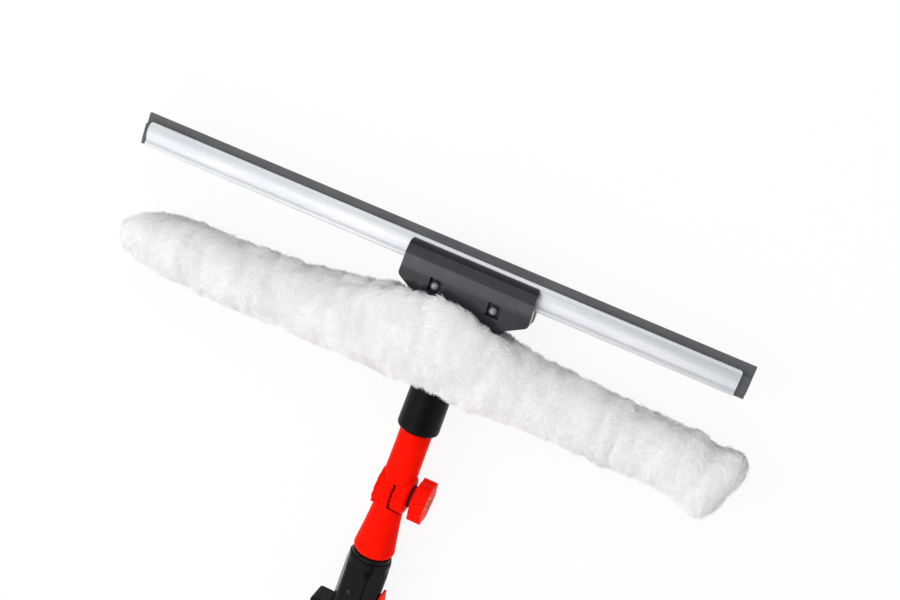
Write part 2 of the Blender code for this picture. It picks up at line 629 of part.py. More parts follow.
def build_bar():
    """Washer bar: socket and hub along Y, ribbed arms along X, and the tab between the jaws."""
    mouth, bore_end = -SOCKET_MOUTH, -SOCKET_MOUTH + SOCKET_DEPTH
    bore = ARM_HALF_WIDTH + GAP
    dome = [(SOCKET_RADIUS * sin(radians(angle)), HUB_TOP - SOCKET_RADIUS / 2 * (1 - cos(radians(angle))))
            for angle in (0, 25, 50, 70, 90)]
    edge = [(SOCKET_MOUTH_RADIUS - SOCKET_EDGE * (1 - cos(radians(angle))),
             mouth + SOCKET_EDGE * (1 - sin(radians(angle)))) for angle in (0, 30, 60, 90)]
    profile = dome + edge + [(bore, mouth), (bore, bore_end), (0, bore_end)]
    bar = turned("t_bar", profile, ALONG_Y, head_frame, black_plastic)
    pitch = (BAR_HALF_LENGTH - SOCKET_RADIUS) / (BAR_RIBS + 1)
    right = [(0, BAR_HALF_LENGTH), (BAR_RADIUS - BAR_RIB_WIDTH / 4, BAR_HALF_LENGTH),
             (BAR_RADIUS, BAR_HALF_LENGTH - BAR_RIB_WIDTH / 4)]
    for index in range(BAR_RIBS):
        place = BAR_HALF_LENGTH - pitch * (index + 1)
        right += [(BAR_RADIUS, place + BAR_RIB_WIDTH / 2), (BAR_RIB_RADIUS, place + BAR_RIB_WIDTH / 4),
                  (BAR_RIB_RADIUS, place - BAR_RIB_WIDTH / 4), (BAR_RADIUS, place - BAR_RIB_WIDTH / 2)]
    left = [(radius, -along) for radius, along in reversed(right)]
    arms = turned("bar_arms", right + left, ALONG_X, head_frame, steps=16)
    tab = box("bar_tab", (-TAB_HALF_WIDTH, 0, -TAB_HALF_THICKNESS),
              (TAB_HALF_WIDTH, TAB_TOP, TAB_HALF_THICKNESS), head_frame)
    join(bar, arms, tab)
    for across in (-JAW_SCREW_SPACING / 2, JAW_SCREW_SPACING / 2):
        cut(bar, rod("tab_hole", JAW_SCREW_HOLE_RADIUS, -JAW_PLATE, JAW_PLATE, UPRIGHT, head_frame,
                     centre=(across, JAW_SCREW_HEIGHT, 0)))
    cut(bar, rod("ferrule_screw_hole", FERRULE_SCREW_RADIUS + GAP, -SOCKET_MOUTH_RADIUS - OVERRUN,
                 -ARM_HALF_WIDTH, UPRIGHT, head_frame, centre=(0, -FERRULE_SCREW_HEIGHT, 0)))
    seat = -SOCKET_MOUTH_RADIUS - GAP
    flip = Matrix.Rotation(pi, 4, "X")
    profile = screw_profile(FERRULE_SCREW_RADIUS, FERRULE_SCREW_LENGTH, FERRULE_SCREW_HEAD_RADIUS,
                            FERRULE_SCREW_HEAD_HEIGHT, -seat)
    turned("ferrule_screw", profile, flip, head_frame, steel, centre=(0, -FERRULE_SCREW_HEIGHT, 0),
           steps=COARSE_STEPS)


# Sleeve stations as shares: place from the handle's axis to the end it lies towards, then the middle's
# height, half height, and front and back half depth as shares of the sleeve's radius
SLEEVE_STATION_SHARES = (
    (-1.000, -0.26, 0.22, 0.20, 0.20), (-0.985, -0.20, 0.46, 0.42, 0.42), (-0.945, -0.12, 0.72, 0.68, 0.68),
    (-0.885, -0.06, 0.90, 0.88, 0.90), (-0.790, -0.04, 1.00, 1.00, 1.06), (-0.630, -0.03, 1.03, 1.02, 1.06),
    (-0.470, 0.04, 1.05, 1.05, 1.06), (-0.320, 0.13, 1.12, 1.10, 1.06), (-0.180, 0.26, 1.20, 1.18, 1.06),
    (-0.040, 0.33, 1.26, 1.26, 1.06), (0.140, 0.31, 1.20, 1.22, 1.06), (0.280, 0.25, 1.08, 1.14, 1.06),
    (0.460, 0.22, 1.01, 1.07, 1.06), (0.640, 0.20, 0.96, 1.03, 1.06), (0.770, 0.18, 0.93, 1.00, 1.06),
    (0.850, 0.11, 1.05, 1.04, 1.06), (0.910, 0.05, 1.18, 1.11, 1.06), (0.955, 0.07, 1.19, 1.07, 1.04),
    (0.985, 0.14, 1.00, 0.86, 0.90), (1.000, 0.18, 0.72, 0.56, 0.56))
SLEEVE_SIDES = 16


def build_sleeve():
    """Soft sleeve: lofted rings, flat where they rest, hollow for the bar and open for socket and jaws."""
    rings = []
    for place, middle, height, front, back in SLEEVE_STATION_SHARES:
        reach = SLEEVE_RIGHT_REACH if place > 0 else SLEEVE_LEFT_REACH
        ring = []
        for index in range(SLEEVE_SIDES):
            angle = 2 * pi * (index + 0.5) / SLEEVE_SIDES
            depth = front if sin(angle) > 0 else back
            up = max(depth * SLEEVE_RADIUS * sin(angle), -AXIS_HEIGHT)
            ring.append((place * reach, (middle + height * cos(angle)) * SLEEVE_RADIUS, up))
        rings.append(ring)
    sleeve = loft("washer_sleeve", rings, head_frame, white_plush)
    smooth = sleeve.modifiers.new("soften", "SUBSURF")
    smooth.levels = 1
    smooth.render_levels = 1
    end = BAR_HALF_LENGTH + GAP
    bore = rod("sleeve_bore", SLEEVE_CAVITY_RADIUS, -end, end, ALONG_X, head_frame)
    socket_room = rod("socket_room", SOCKET_MOUTH_RADIUS + GAP, -SOCKET_MOUTH, HUB_TOP + GAP, ALONG_Y,
                      head_frame, sides=FINE_STEPS)
    jaw_depth = JAW_PLATE + GAP
    jaw_room = box("jaw_room", (-JAW_FOOT_HALF_WIDTH - GAP, JAW_FOOT - GAP, -jaw_depth),
                   (JAW_FOOT_HALF_WIDTH + GAP, BLADE_TIP, jaw_depth), head_frame)
    back_room = box("back_room", (-JAW_HALF_WIDTH, JAW_FOOT - GAP, -AXIS_HEIGHT - OVERRUN),
                    (JAW_HALF_WIDTH, BLADE_TIP, 0), head_frame)
    tab_room = box("tab_room", (-TAB_HALF_WIDTH - GAP, 0, -TAB_HALF_THICKNESS - GAP),
                   (TAB_HALF_WIDTH + GAP, BLADE_TIP, TAB_HALF_THICKNESS + GAP), head_frame)
    tall, wide = SLEEVE_TAPE_HALF_HEIGHT + GAP, SLEEVE_TAPE_HALF_WIDTH + GAP
    tape_room = box("tape_room", (end - OVERRUN, -tall, -wide), (end + SLEEVE_TAPE_ROOM, tall, wide), head_frame)
    cut(sleeve, bore, socket_room, jaw_room, back_room, tab_room, tape_room)
    start = end + GAP
    tape = box("sleeve_closure_tape", (start, -SLEEVE_TAPE_HALF_HEIGHT, -SLEEVE_TAPE_HALF_WIDTH),
               (start + SLEEVE_TAPE_THICKNESS, SLEEVE_TAPE_HALF_HEIGHT, SLEEVE_TAPE_HALF_WIDTH),
               head_frame, black_tape)
    return tape


def oval(along, half_width, half_thickness, shift=0, roundness=1.0, count=FINE_STEPS):
    """A ring across the arm; roundness under 1 makes it squarer."""
    ring = []
    for index in range(count):
        angle = 2 * pi * index / count
        across = copysign(abs(cos(angle)) ** roundness, cos(angle))
        up = copysign(abs(sin(angle)) ** roundness, sin(angle))
        ring.append((shift + half_width * across, along, half_thickness * up))
    return ring


def toothed_face(name, side, parent):
    """A ring of radial teeth that fade out towards the middle; side is 1 where they point to +X."""
    valley = -TOOTH_HEIGHT * 0.85
    base = -TOOTH_HEIGHT - GAP / 2
    bm = bmesh.new()
    levels = []
    for radius, depth in ((TOOTH_INNER_RADIUS, None), (TOOTH_OUTER_RADIUS, None), (TOOTH_OUTER_RADIUS, base)):
        ring = []
        for index in range(2 * TEETH):
            angle = pi * (index + TOOTH_PHASE_SHARE) / TEETH
            crest = radius == TOOTH_OUTER_RADIUS and index % 2
            height = depth if depth else (0 if crest else valley)
            ring.append(bm.verts.new((radius * cos(angle), radius * sin(angle), height)))
        levels.append([bm.edges.new((first, second)) for first, second in zip(ring, ring[1:] + ring[:1])])
    for first, second in zip(levels, levels[1:]):
        bmesh.ops.bridge_loops(bm, edges=first + second)
    for ends in (levels[0], levels[-1]):
        bmesh.ops.contextual_create(bm, geom=ends)
    bmesh.ops.triangulate(bm, faces=bm.faces)
    bmesh.ops.recalc_face_normals(bm, faces=bm.faces)
    bm.transform(Matrix.Rotation(side * pi / 2, 4, "Y"))
    mesh = bpy.data.meshes.new(name)
    bm.to_mesh(mesh)
    bm.free()
    return add_object(name, mesh, parent)


def build_upper_arm():
    """Upper arm: round in the socket, slightly flattened beside the knuckles, ending in the right knuckle."""
    top = PIVOT_DROP - SOCKET_MOUTH + SOCKET_DEPTH - GAP
    seat = PIVOT_DROP - SOCKET_MOUTH
    pivot_frame = frame("upper_arm_frame", head_frame, (0, -PIVOT_DROP, 0))
    shoulder_front = sqrt(UPPER_FRONT ** 2 - UPPER_FRONT_SHOULDER ** 2)
    middle_front = sqrt(UPPER_FRONT ** 2 - (UPPER_FRONT_SHOULDER / 2) ** 2)
    rings = [oval(top, ARM_HALF_WIDTH - GAP, ARM_HALF_WIDTH - GAP),
             oval(top - GAP, ARM_HALF_WIDTH, ARM_HALF_WIDTH),
             oval(seat, ARM_HALF_WIDTH, ARM_HALF_WIDTH),
             oval(seat * 2 / 3, ARM_HALF_WIDTH, ARM_HALF_WIDTH, 0, 0.95),
             oval(KNUCKLE_CLEARANCE_RADIUS, ARM_HALF_WIDTH, UPPER_NECK_THICKNESS, 0, 0.72),
             oval(UPPER_FRONT_SHOULDER, UPPER_END_WIDTH, shoulder_front, 0, 0.55),
             oval(UPPER_FRONT_SHOULDER / 2, UPPER_END_WIDTH, middle_front, 0, 0.5),
             oval(0, UPPER_END_WIDTH, UPPER_FRONT, 0, 0.5)]
    arm = loft("upper_swivel_arm", rings, pivot_frame, red_plastic)
    face = KNUCKLE_SPLIT + TOOTH_HEIGHT + GAP
    free_side = rod("upper_clearance", KNUCKLE_CLEARANCE_RADIUS, face + GAP, -ARM_HALF_WIDTH - OVERRUN,
                    ALONG_X, pivot_frame, sides=FINE_STEPS)
    profile = [(0, RIGHT_KNUCKLE_FACE)]
    for angle in (0, 30, 60, 90):
        profile.append((RIGHT_KNUCKLE_RADIUS - RIGHT_KNUCKLE_ROUND * (1 - sin(radians(angle))),
                        RIGHT_KNUCKLE_FACE - RIGHT_KNUCKLE_ROUND * (1 - cos(radians(angle)))))
    profile += [(RIGHT_KNUCKLE_RADIUS, face), (0, face)]
    knuckle = turned("upper_knuckle", profile, ALONG_X, pivot_frame)
    teeth = toothed_face("upper_teeth", -1, pivot_frame)
    teeth.location = (KNUCKLE_SPLIT + GAP, 0, 0)
    screw_hole = rod("arm_pilot_hole", FERRULE_SCREW_RADIUS + GAP, -SOCKET_MOUTH_RADIUS,
                     FERRULE_SCREW_LENGTH - SOCKET_MOUTH_RADIUS + GAP, UPRIGHT, pivot_frame,
                     centre=(0, PIVOT_DROP - FERRULE_SCREW_HEIGHT, 0))
    cut(arm, free_side, screw_hole)
    join(arm, knuckle, teeth)
    cut(arm, rod("upper_bolt_hole", BOLT_RADIUS + GAP, -ARM_HALF_WIDTH, BOLT_END, ALONG_X, pivot_frame))


def build_lower_arm():
    """Lower arm: the ribbed left knuckle, a flared bell and the spigot inside the inner tube."""
    waist = BELL_WAIST_RADIUS
    lip = BELL_BOTTOM - BELL_WIDEST
    rings = [oval(-TOOTH_INNER_RADIUS, waist, ARM_HALF_THICKNESS, -NECK_SHIFT),
             oval(-BELL_WAIST_END, waist, ARM_HALF_THICKNESS, -NECK_SHIFT)]
    flare_steps = 6
    for index in range(1, flare_steps + 1):
        share = index / flare_steps
        radius = waist + (BELL_RADIUS - waist) * share ** 1.2
        depth = ARM_HALF_THICKNESS + (BELL_RADIUS - ARM_HALF_THICKNESS) * share ** 1.1
        along = -BELL_WAIST_END - (BELL_WIDEST - BELL_WAIST_END) * share
        rings.append(oval(along, radius, depth, -NECK_SHIFT * (1 - share)))
    for angle in (35, 65, 90):
        radius = BELL_RADIUS - lip * 0.8 * (1 - cos(radians(angle)))
        along = -BELL_WIDEST - lip * sin(radians(angle))
        rings.append(oval(along, radius, radius))
    rings += [oval(-BELL_BOTTOM - WELD, SPIGOT_RADIUS, SPIGOT_RADIUS),
              oval(-SPIGOT_END + GAP, SPIGOT_RADIUS, SPIGOT_RADIUS),
              oval(-SPIGOT_END, SPIGOT_RADIUS - GAP, SPIGOT_RADIUS - GAP)]
    arm = loft("lower_swivel_arm", rings, handle_frame, red_plastic)
    face = KNUCKLE_SPLIT - TOOTH_HEIGHT - GAP
    free_side = rod("lower_clearance", KNUCKLE_CLEARANCE_RADIUS, face - GAP, ARM_HALF_WIDTH + OVERRUN,
                    ALONG_X, handle_frame, sides=FINE_STEPS)
    cut(arm, free_side)
    rib_outline = []
    groove_start, groove_end, rib_start, rib_end = 0.0, 0.30, 0.42, 0.88
    for index in range(LEFT_KNUCKLE_RIBS):
        for share, radius in ((groove_start, LEFT_KNUCKLE_VALLEY), (groove_end, LEFT_KNUCKLE_VALLEY),
                              (rib_start, LEFT_KNUCKLE_RADIUS), (rib_end, LEFT_KNUCKLE_RADIUS)):
            angle = 2 * pi * (index + share) / LEFT_KNUCKLE_RIBS
            rib_outline.append((radius * cos(angle), radius * sin(angle)))
    collar_end = face - LEFT_COLLAR_WIDTH
    knuckle = plate("lower_knuckle", [rib_outline], -LEFT_KNUCKLE_FACE, collar_end + WELD * 2, ALONG_X,
                    handle_frame)
    collar = rod("lower_collar", LEFT_COLLAR_RADIUS, collar_end, face - LEFT_FLANGE_WIDTH / 2, ALONG_X,
                 handle_frame, sides=FINE_STEPS)
    flange = rod("lower_flange", LEFT_FLANGE_RADIUS, face - LEFT_FLANGE_WIDTH, face, ALONG_X, handle_frame,
                 sides=FINE_STEPS)
    teeth = toothed_face("lower_teeth", 1, handle_frame)
    teeth.location = (KNUCKLE_SPLIT - GAP, 0, 0)
    join(arm, knuckle, collar, flange, teeth)
    bolt_hole = rod("lower_bolt_hole", BOLT_RADIUS + GAP, -LEFT_KNUCKLE_FACE - OVERRUN, OVERRUN, ALONG_X,
                    handle_frame)
    head_pocket = hexagon("bolt_head_pocket", BOLT_HEAD_HALF_FLATS + GAP, -LEFT_KNUCKLE_FACE - OVERRUN,
                          -BOLT_HEAD_OUTER + BOLT_HEAD_HEIGHT + GAP, ALONG_X, handle_frame)
    screw_end = TIP_CORNER_RADIUS - TIP_SCREW_LENGTH - OVERRUN
    screw_hole = rod("spigot_pilot_hole", TIP_SCREW_RADIUS + GAP, screw_end, TIP_CORNER_RADIUS, FACET,
                     handle_frame, centre=(0, -TIP_SCREW_AT, 0), sides=12)
    cut(arm, bolt_hole, head_pocket, screw_hole)


def build_swivel_hardware():
    """Hexagon bolt through both knuckles, thrust washer, lobed knob and its nut."""
    head_inner = -BOLT_HEAD_OUTER + BOLT_HEAD_HEIGHT
    bolt = hexagon("swivel_bolt", BOLT_HEAD_HALF_FLATS, -BOLT_HEAD_OUTER, head_inner, ALONG_X, handle_frame,
                   steel)
    shank = turned("bolt_shank", [(0, BOLT_END), (BOLT_RADIUS - GAP, BOLT_END), (BOLT_RADIUS, BOLT_END - GAP),
                                  (BOLT_RADIUS, head_inner - GAP), (0, head_inner - GAP)],
                   ALONG_X, handle_frame, steps=COARSE_STEPS)
    join(bolt, shank)
    bore = BOLT_RADIUS + GAP
    washer_end = THRUST_WASHER_FACE + THRUST_WASHER_THICKNESS
    turned("thrust_washer", [(THRUST_WASHER_RADIUS, washer_end), (THRUST_WASHER_RADIUS, THRUST_WASHER_FACE),
                             (bore, THRUST_WASHER_FACE), (bore, washer_end)],
           ALONG_X, handle_frame, steel, closed=True, steps=32)
    outline = []
    points = 12 * KNOB_LOBES
    for index in range(points):
        angle = 2 * pi * index / points
        wave = (1 - cos(KNOB_LOBES * angle)) / 2
        radius = KNOB_RADIUS - KNOB_LOBE_DEPTH * wave ** 1.5
        outline.append((radius * cos(angle), radius * sin(angle)))
    knob = plate("swivel_knob", [outline], KNOB_INNER_FACE, KNOB_OUTER_FACE, ALONG_X, handle_frame,
                 red_plastic, KNOB_EDGE_BEVEL)
    neck = rod("knob_neck", KNOB_NECK_RADIUS, KNOB_NECK_FACE, KNOB_INNER_FACE + KNOB_EDGE_BEVEL, ALONG_X,
               handle_frame)
    join(knob, neck)
    hole = rod("knob_bore", bore, KNOB_NECK_FACE - OVERRUN, KNOB_OUTER_FACE, ALONG_X, handle_frame)
    nut_seat = KNOB_OUTER_FACE - KNOB_NUT_THICKNESS
    pocket = hexagon("knob_nut_pocket", KNOB_NUT_HALF_FLATS + GAP, nut_seat - GAP - GAP,
                     KNOB_OUTER_FACE + OVERRUN, ALONG_X, handle_frame)
    cut(knob, hole, pocket)
    drilled_nut("knob_nut", KNOB_NUT_HALF_FLATS, nut_seat - GAP, KNOB_OUTER_FACE - GAP, bore, ALONG_X,
                handle_frame, (0, 0, 0), brass)


def build_pole_tip():
    """Hexagonal plastic tip, chamfered to a round mouth, pressed over the inner tube."""
    bore = INNER_TUBE_RADIUS + GAP
    edge = GAP * 2
    neck_top = TIP_RING_TOP - TIP_NECK_LENGTH
    profile = [(TIP_NECK_RADIUS - edge, -neck_top), (TIP_NECK_RADIUS, -neck_top - edge),
               (TIP_NECK_RADIUS, -TIP_RING_TOP), (TIP_RING_RADIUS - edge, -TIP_RING_TOP),
               (TIP_RING_RADIUS, -TIP_RING_TOP - edge),
               (TIP_RING_RADIUS, -TIP_MOUTH), (TIP_MOUTH_RADIUS, -TIP_MOUTH - edge),
               (TIP_MOUTH_RADIUS, -TIP_COLLAR_END), (TIP_CORNER_RADIUS, -TIP_CHAMFER_END),
               (TIP_CORNER_RADIUS, -TIP_BOTTOM), (bore, -TIP_BOTTOM), (bore, -neck_top)]
    tip = turned("pole_tip", profile, ALONG_Y, handle_frame, black_plastic, closed=True)
    flats = hexagon("tip_flats", TIP_HALF_FLATS, -TIP_BOTTOM - OVERRUN, -neck_top + OVERRUN, ALONG_Y,
                    handle_frame, phase=radians(TIP_PHASE))
    keep_common(tip, flats)
    cut(tip, rod("tip_screw_hole", TIP_SCREW_RADIUS + GAP, 0, TIP_CORNER_RADIUS + OVERRUN, FACET,
                 handle_frame, centre=(0, -TIP_SCREW_AT, 0), sides=12))
    turned("tip_screw", screw_profile(TIP_SCREW_RADIUS, TIP_SCREW_LENGTH, TIP_SCREW_HEAD_RADIUS,
                                      TIP_SCREW_HEAD_HEIGHT, TIP_HALF_FLATS + GAP),
           FACET, handle_frame, steel, centre=(0, -TIP_SCREW_AT, 0), steps=16)


def keyed_circle(radius, count=FINE_STEPS):
    """A circle with one shallow groove on its back, which keeps the tubes from turning."""
    half = radians(KEY_GROOVE_ANGLE) / 2
    points = []
    for index in range(count + 1):
        angle = -pi / 2 + half + (2 * pi - 2 * half) * index / count
        points.append((radius * cos(angle), radius * sin(angle)))
    for angle in (-pi / 2 - half / 2, -pi / 2 + half / 2):
        points.append(((radius - KEY_GROOVE_DEPTH) * cos(angle), (radius - KEY_GROOVE_DEPTH) * sin(angle)))
    return points


# Lays an outline's own X and Y along the handle frame's X and Z, drawn out along Y
CROSS = Matrix(((1, 0, 0, 0), (0, 0, -1, 0), (0, 1, 0, 0), (0, 0, 0, 1)))


def build_tubes():
    """Keyed aluminium tubes and the guide bush on the inner tube's lower end."""
    walls = [keyed_circle(INNER_TUBE_RADIUS), keyed_circle(INNER_TUBE_RADIUS - INNER_TUBE_WALL)]
    inner = plate("inner_tube", walls, INNER_TUBE_TOP, INNER_TUBE_BOTTOM, CROSS, handle_frame, satin_aluminium)
    cut(inner, rod("tube_screw_hole", TIP_SCREW_RADIUS + GAP, 0, INNER_TUBE_RADIUS + OVERRUN, FACET,
                   handle_frame, centre=(0, -TIP_SCREW_AT, 0), sides=12))
    plate("outer_tube", [keyed_circle(OUTER_TUBE_RADIUS), keyed_circle(OUTER_TUBE_RADIUS - OUTER_TUBE_WALL)],
          OUTER_TUBE_TOP, OUTER_TUBE_BOTTOM, CROSS, handle_frame, satin_aluminium)
    bush_top = INNER_TUBE_BOTTOM + GAP
    bush = plate("inner_tube_bush", [keyed_circle(OUTER_TUBE_RADIUS - OUTER_TUBE_WALL - GAP)], bush_top,
                 bush_top + BUSH_LENGTH, CROSS, handle_frame, black_plastic)
    join(bush, rod("bush_spigot", BUSH_SPIGOT_RADIUS, -bush_top - BUSH_LENGTH / 2,
                   -bush_top + BUSH_SPIGOT_LENGTH, ALONG_Y, handle_frame))


def build_lock():
    """Lever lock: housing on the outer tube with its screw and nut, cam lever on its pin, and brake pad."""
    housing = rod("lock_housing", HOUSING_RADIUS, -HOUSING_BOTTOM, -HOUSING_TOP, ALONG_Y, handle_frame,
                  black_plastic, sides=FINE_STEPS)
    lug_corners = [(-HOUSING_RADIUS + OVERRUN, -HOUSING_TOP), (-LUG_REACH, -HOUSING_TOP),
                   (-LUG_REACH, -HOUSING_BOTTOM), (-HOUSING_RADIUS + OVERRUN, -HOUSING_BOTTOM)]
    lug_rounds = rounded_outline(lug_corners, LUG_ROUND)
    lugs = plate("lock_lugs", [lug_rounds], -LUG_HALF_THICKNESS, LUG_HALF_THICKNESS, UPRIGHT, handle_frame)
    cheek_corners = [(INNER_TUBE_RADIUS, -HOUSING_TOP), (INNER_TUBE_RADIUS, -CHEEK_BOTTOM),
                     (CHEEK_REACH, -CHEEK_BOTTOM), (CHEEK_REACH, -HOUSING_TOP)]
    cheeks = plate("lock_cheeks", [rounded_outline(cheek_corners, CHEEK_ROUND)], -CHEEK_HALF_DEPTH,
                   CHEEK_HALF_DEPTH, UPRIGHT, handle_frame)
    join(housing, lugs, cheeks)
    tube_room = rod("tube_room", INNER_TUBE_RADIUS + GAP, -HOUSING_GUIDE_END - OVERRUN, -HOUSING_TOP + OVERRUN,
                    ALONG_Y, handle_frame, sides=FINE_STEPS)
    outer_room = rod("outer_room", OUTER_TUBE_RADIUS + GAP, -HOUSING_BOTTOM - OVERRUN, -HOUSING_GUIDE_END,
                     ALONG_Y, handle_frame, sides=FINE_STEPS)
    side = LEVER_HALF_WIDTH + GAP
    lever_room = box("lever_room", (LEVER_INNER_FACE - GAP, -CHEEK_BOTTOM + CHEEK_ROUND / 2, -side),
                     (CHEEK_REACH + OVERRUN, -HOUSING_TOP + OVERRUN, side), handle_frame)
    pad_end = PAD_HALF_LENGTH + GAP
    pad_room = box("pad_room", (0, -LEVER_PIN_AT - pad_end, -PAD_HALF_WIDTH - GAP),
                   (LEVER_PIN_X, -LEVER_PIN_AT + pad_end, PAD_HALF_WIDTH + GAP), handle_frame)
    slit = box("lug_slit", (-LUG_REACH - OVERRUN, -HOUSING_BOTTOM - OVERRUN, -SLIT_WIDTH / 2),
               (-INNER_TUBE_RADIUS, -HOUSING_GUIDE_END, SLIT_WIDTH / 2), handle_frame)
    pin_hole = rod("pin_hole", LEVER_PIN_RADIUS + GAP, -CHEEK_HALF_DEPTH - OVERRUN,
                   CHEEK_HALF_DEPTH + OVERRUN, UPRIGHT, handle_frame, centre=(LEVER_PIN_X, -LEVER_PIN_AT, 0))
    place = (-HOUSING_SCREW_X, -HOUSING_SCREW_AT, 0)
    screw_hole = rod("lug_hole", HOUSING_SCREW_RADIUS + GAP, -LUG_HALF_THICKNESS - OVERRUN,
                     LUG_HALF_THICKNESS + OVERRUN, UPRIGHT, handle_frame, centre=place)
    nut_pocket = hexagon("lug_nut_pocket", HOUSING_NUT_HALF_FLATS + GAP, -LUG_HALF_THICKNESS - OVERRUN,
                         -LUG_HALF_THICKNESS + HOUSING_NUT_THICKNESS + GAP, UPRIGHT, handle_frame,
                         centre=place)
    cut(housing, tube_room, outer_room, lever_room, pad_room, slit, pin_hole, screw_hole, nut_pocket)
    rod("lever_pin", LEVER_PIN_RADIUS, -CHEEK_HALF_DEPTH, CHEEK_HALF_DEPTH, UPRIGHT, handle_frame, steel,
        centre=(LEVER_PIN_X, -LEVER_PIN_AT, 0))
    profile = screw_profile(HOUSING_SCREW_RADIUS, LUG_HALF_THICKNESS * 2, HOUSING_SCREW_HEAD_RADIUS,
                            HOUSING_SCREW_HEAD_HEIGHT, LUG_HALF_THICKNESS + GAP)
    turned("housing_screw", profile, UPRIGHT, handle_frame, steel, centre=place, steps=COARSE_STEPS)
    drilled_nut("housing_nut", HOUSING_NUT_HALF_FLATS, -LUG_HALF_THICKNESS,
                -LUG_HALF_THICKNESS + HOUSING_NUT_THICKNESS, HOUSING_SCREW_RADIUS + GAP, UPRIGHT, handle_frame,
                place, steel)
    build_lever()
    build_pad()


def build_lever():
    """Red lever along the tip's right side, with an eccentric cam round its pin."""
    inner = LEVER_INNER_FACE - LEVER_PIN_X
    outer = LEVER_OUTER_FACE - LEVER_PIN_X
    tip = LEVER_PIN_AT - LEVER_TIP_AT
    cam_centre = (-CAM_OFFSET, 0)
    blade = [(inner, tip), (inner, CAM_RADIUS)]
    cam = arc(cam_centre, CAM_RADIUS, 150, 390, 14)
    back = [(outer + CAM_OFFSET, CAM_RADIUS * 2), (outer, tip / 2), (inner + LEVER_TIP_THICKNESS, tip)]
    outline = blade + cam + back
    lever = plate("lock_lever", [outline], -LEVER_HALF_WIDTH, LEVER_HALF_WIDTH, UPRIGHT, lever_frame,
                  red_plastic)
    round_edges(lever, LEVER_TIP_THICKNESS / 3)
    cut(lever, rod("lever_bore", LEVER_PIN_RADIUS + GAP, -CHEEK_HALF_DEPTH, CHEEK_HALF_DEPTH, UPRIGHT,
                   lever_frame))
    return lever


def build_pad():
    """Brake pad between the cam and the inner tube, hollowed to the tube's radius."""
    cam_face = LEVER_PIN_X - CAM_OFFSET - CAM_RADIUS
    pad = box("brake_pad", (INNER_TUBE_RADIUS / 2, -LEVER_PIN_AT - PAD_HALF_LENGTH, -PAD_HALF_WIDTH),
              (cam_face - GAP, -LEVER_PIN_AT + PAD_HALF_LENGTH, PAD_HALF_WIDTH), handle_frame, dark_rubber)
    cut(pad, rod("pad_hollow", INNER_TUBE_RADIUS + GAP, -LEVER_PIN_AT - PAD_HALF_LENGTH - OVERRUN,
                 -LEVER_PIN_AT + PAD_HALF_LENGTH + OVERRUN, ALONG_Y, handle_frame, sides=FINE_STEPS))


def build_grip():
    """Foam grip with ring grooves, and the end cap with its hanging hole."""
    bore = OUTER_TUBE_RADIUS + GAP
    bottom = CAP_TOP - GAP
    rounding = [(GRIP_RADIUS - GRIP_END_ROUND * (1 - sin(radians(angle))) / 2,
                 -GRIP_TOP - GRIP_END_ROUND * (1 - cos(radians(angle)))) for angle in (0, 30, 60, 90)]
    profile = list(rounding)
    spacing = (bottom - GRIP_TOP - GRIP_END_ROUND * 2) / GRIP_GROOVES
    for index in range(GRIP_GROOVES):
        middle = GRIP_TOP + GRIP_END_ROUND + spacing * (index + 0.5)
        profile += [(GRIP_RADIUS, -middle + GRIP_GROOVE_WIDTH / 2),
                    (GRIP_RADIUS - GRIP_GROOVE_DEPTH, -middle),
                    (GRIP_RADIUS, -middle - GRIP_GROOVE_WIDTH / 2)]
    profile += [(GRIP_RADIUS, -bottom), (bore, -bottom), (bore, -GRIP_TOP)]
    turned("hand_grip", profile, ALONG_Y, handle_frame, black_foam, closed=True, steps=28)
    tube_seat = OUTER_TUBE_BOTTOM + GAP
    corner = CAP_EDGE * (1 - sin(radians(45)))
    cap_profile = [(0, -CAP_PLUG_TOP), (CAP_PLUG_RADIUS - GAP, -CAP_PLUG_TOP),
                   (CAP_PLUG_RADIUS, -CAP_PLUG_TOP - GAP),
                   (CAP_PLUG_RADIUS, -tube_seat), (OUTER_TUBE_RADIUS + GAP, -tube_seat),
                   (OUTER_TUBE_RADIUS + GAP, -CAP_TOP), (CAP_RADIUS - CAP_EDGE / 2, -CAP_TOP),
                   (CAP_RADIUS, -CAP_TOP - CAP_EDGE / 2), (CAP_RADIUS, -CAP_BOTTOM + CAP_EDGE),
                   (CAP_RADIUS - corner, -CAP_BOTTOM + corner),
                   (CAP_RADIUS - CAP_EDGE, -CAP_BOTTOM), (0, -CAP_BOTTOM)]
    cap = turned("end_cap", cap_profile, ALONG_Y, handle_frame, black_plastic)
    cut(cap, rod("hang_hole", HANG_HOLE_RADIUS, -CAP_RADIUS - OVERRUN, CAP_RADIUS + OVERRUN, UPRIGHT,
                 handle_frame, centre=(0, -HANG_HOLE_AT, 0)))


build_blade()
build_channel()
build_jaws()
build_bar()
build_sleeve()
build_upper_arm()
build_lower_arm()
build_swivel_hardware()
build_pole_tip()
build_tubes()
build_lock()
build_grip()
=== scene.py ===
from math import atan2, cos, exp, pi, radians, sin

import bmesh
import bpy
import numpy as np
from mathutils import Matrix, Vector, noise
from mathutils.kdtree import KDTree


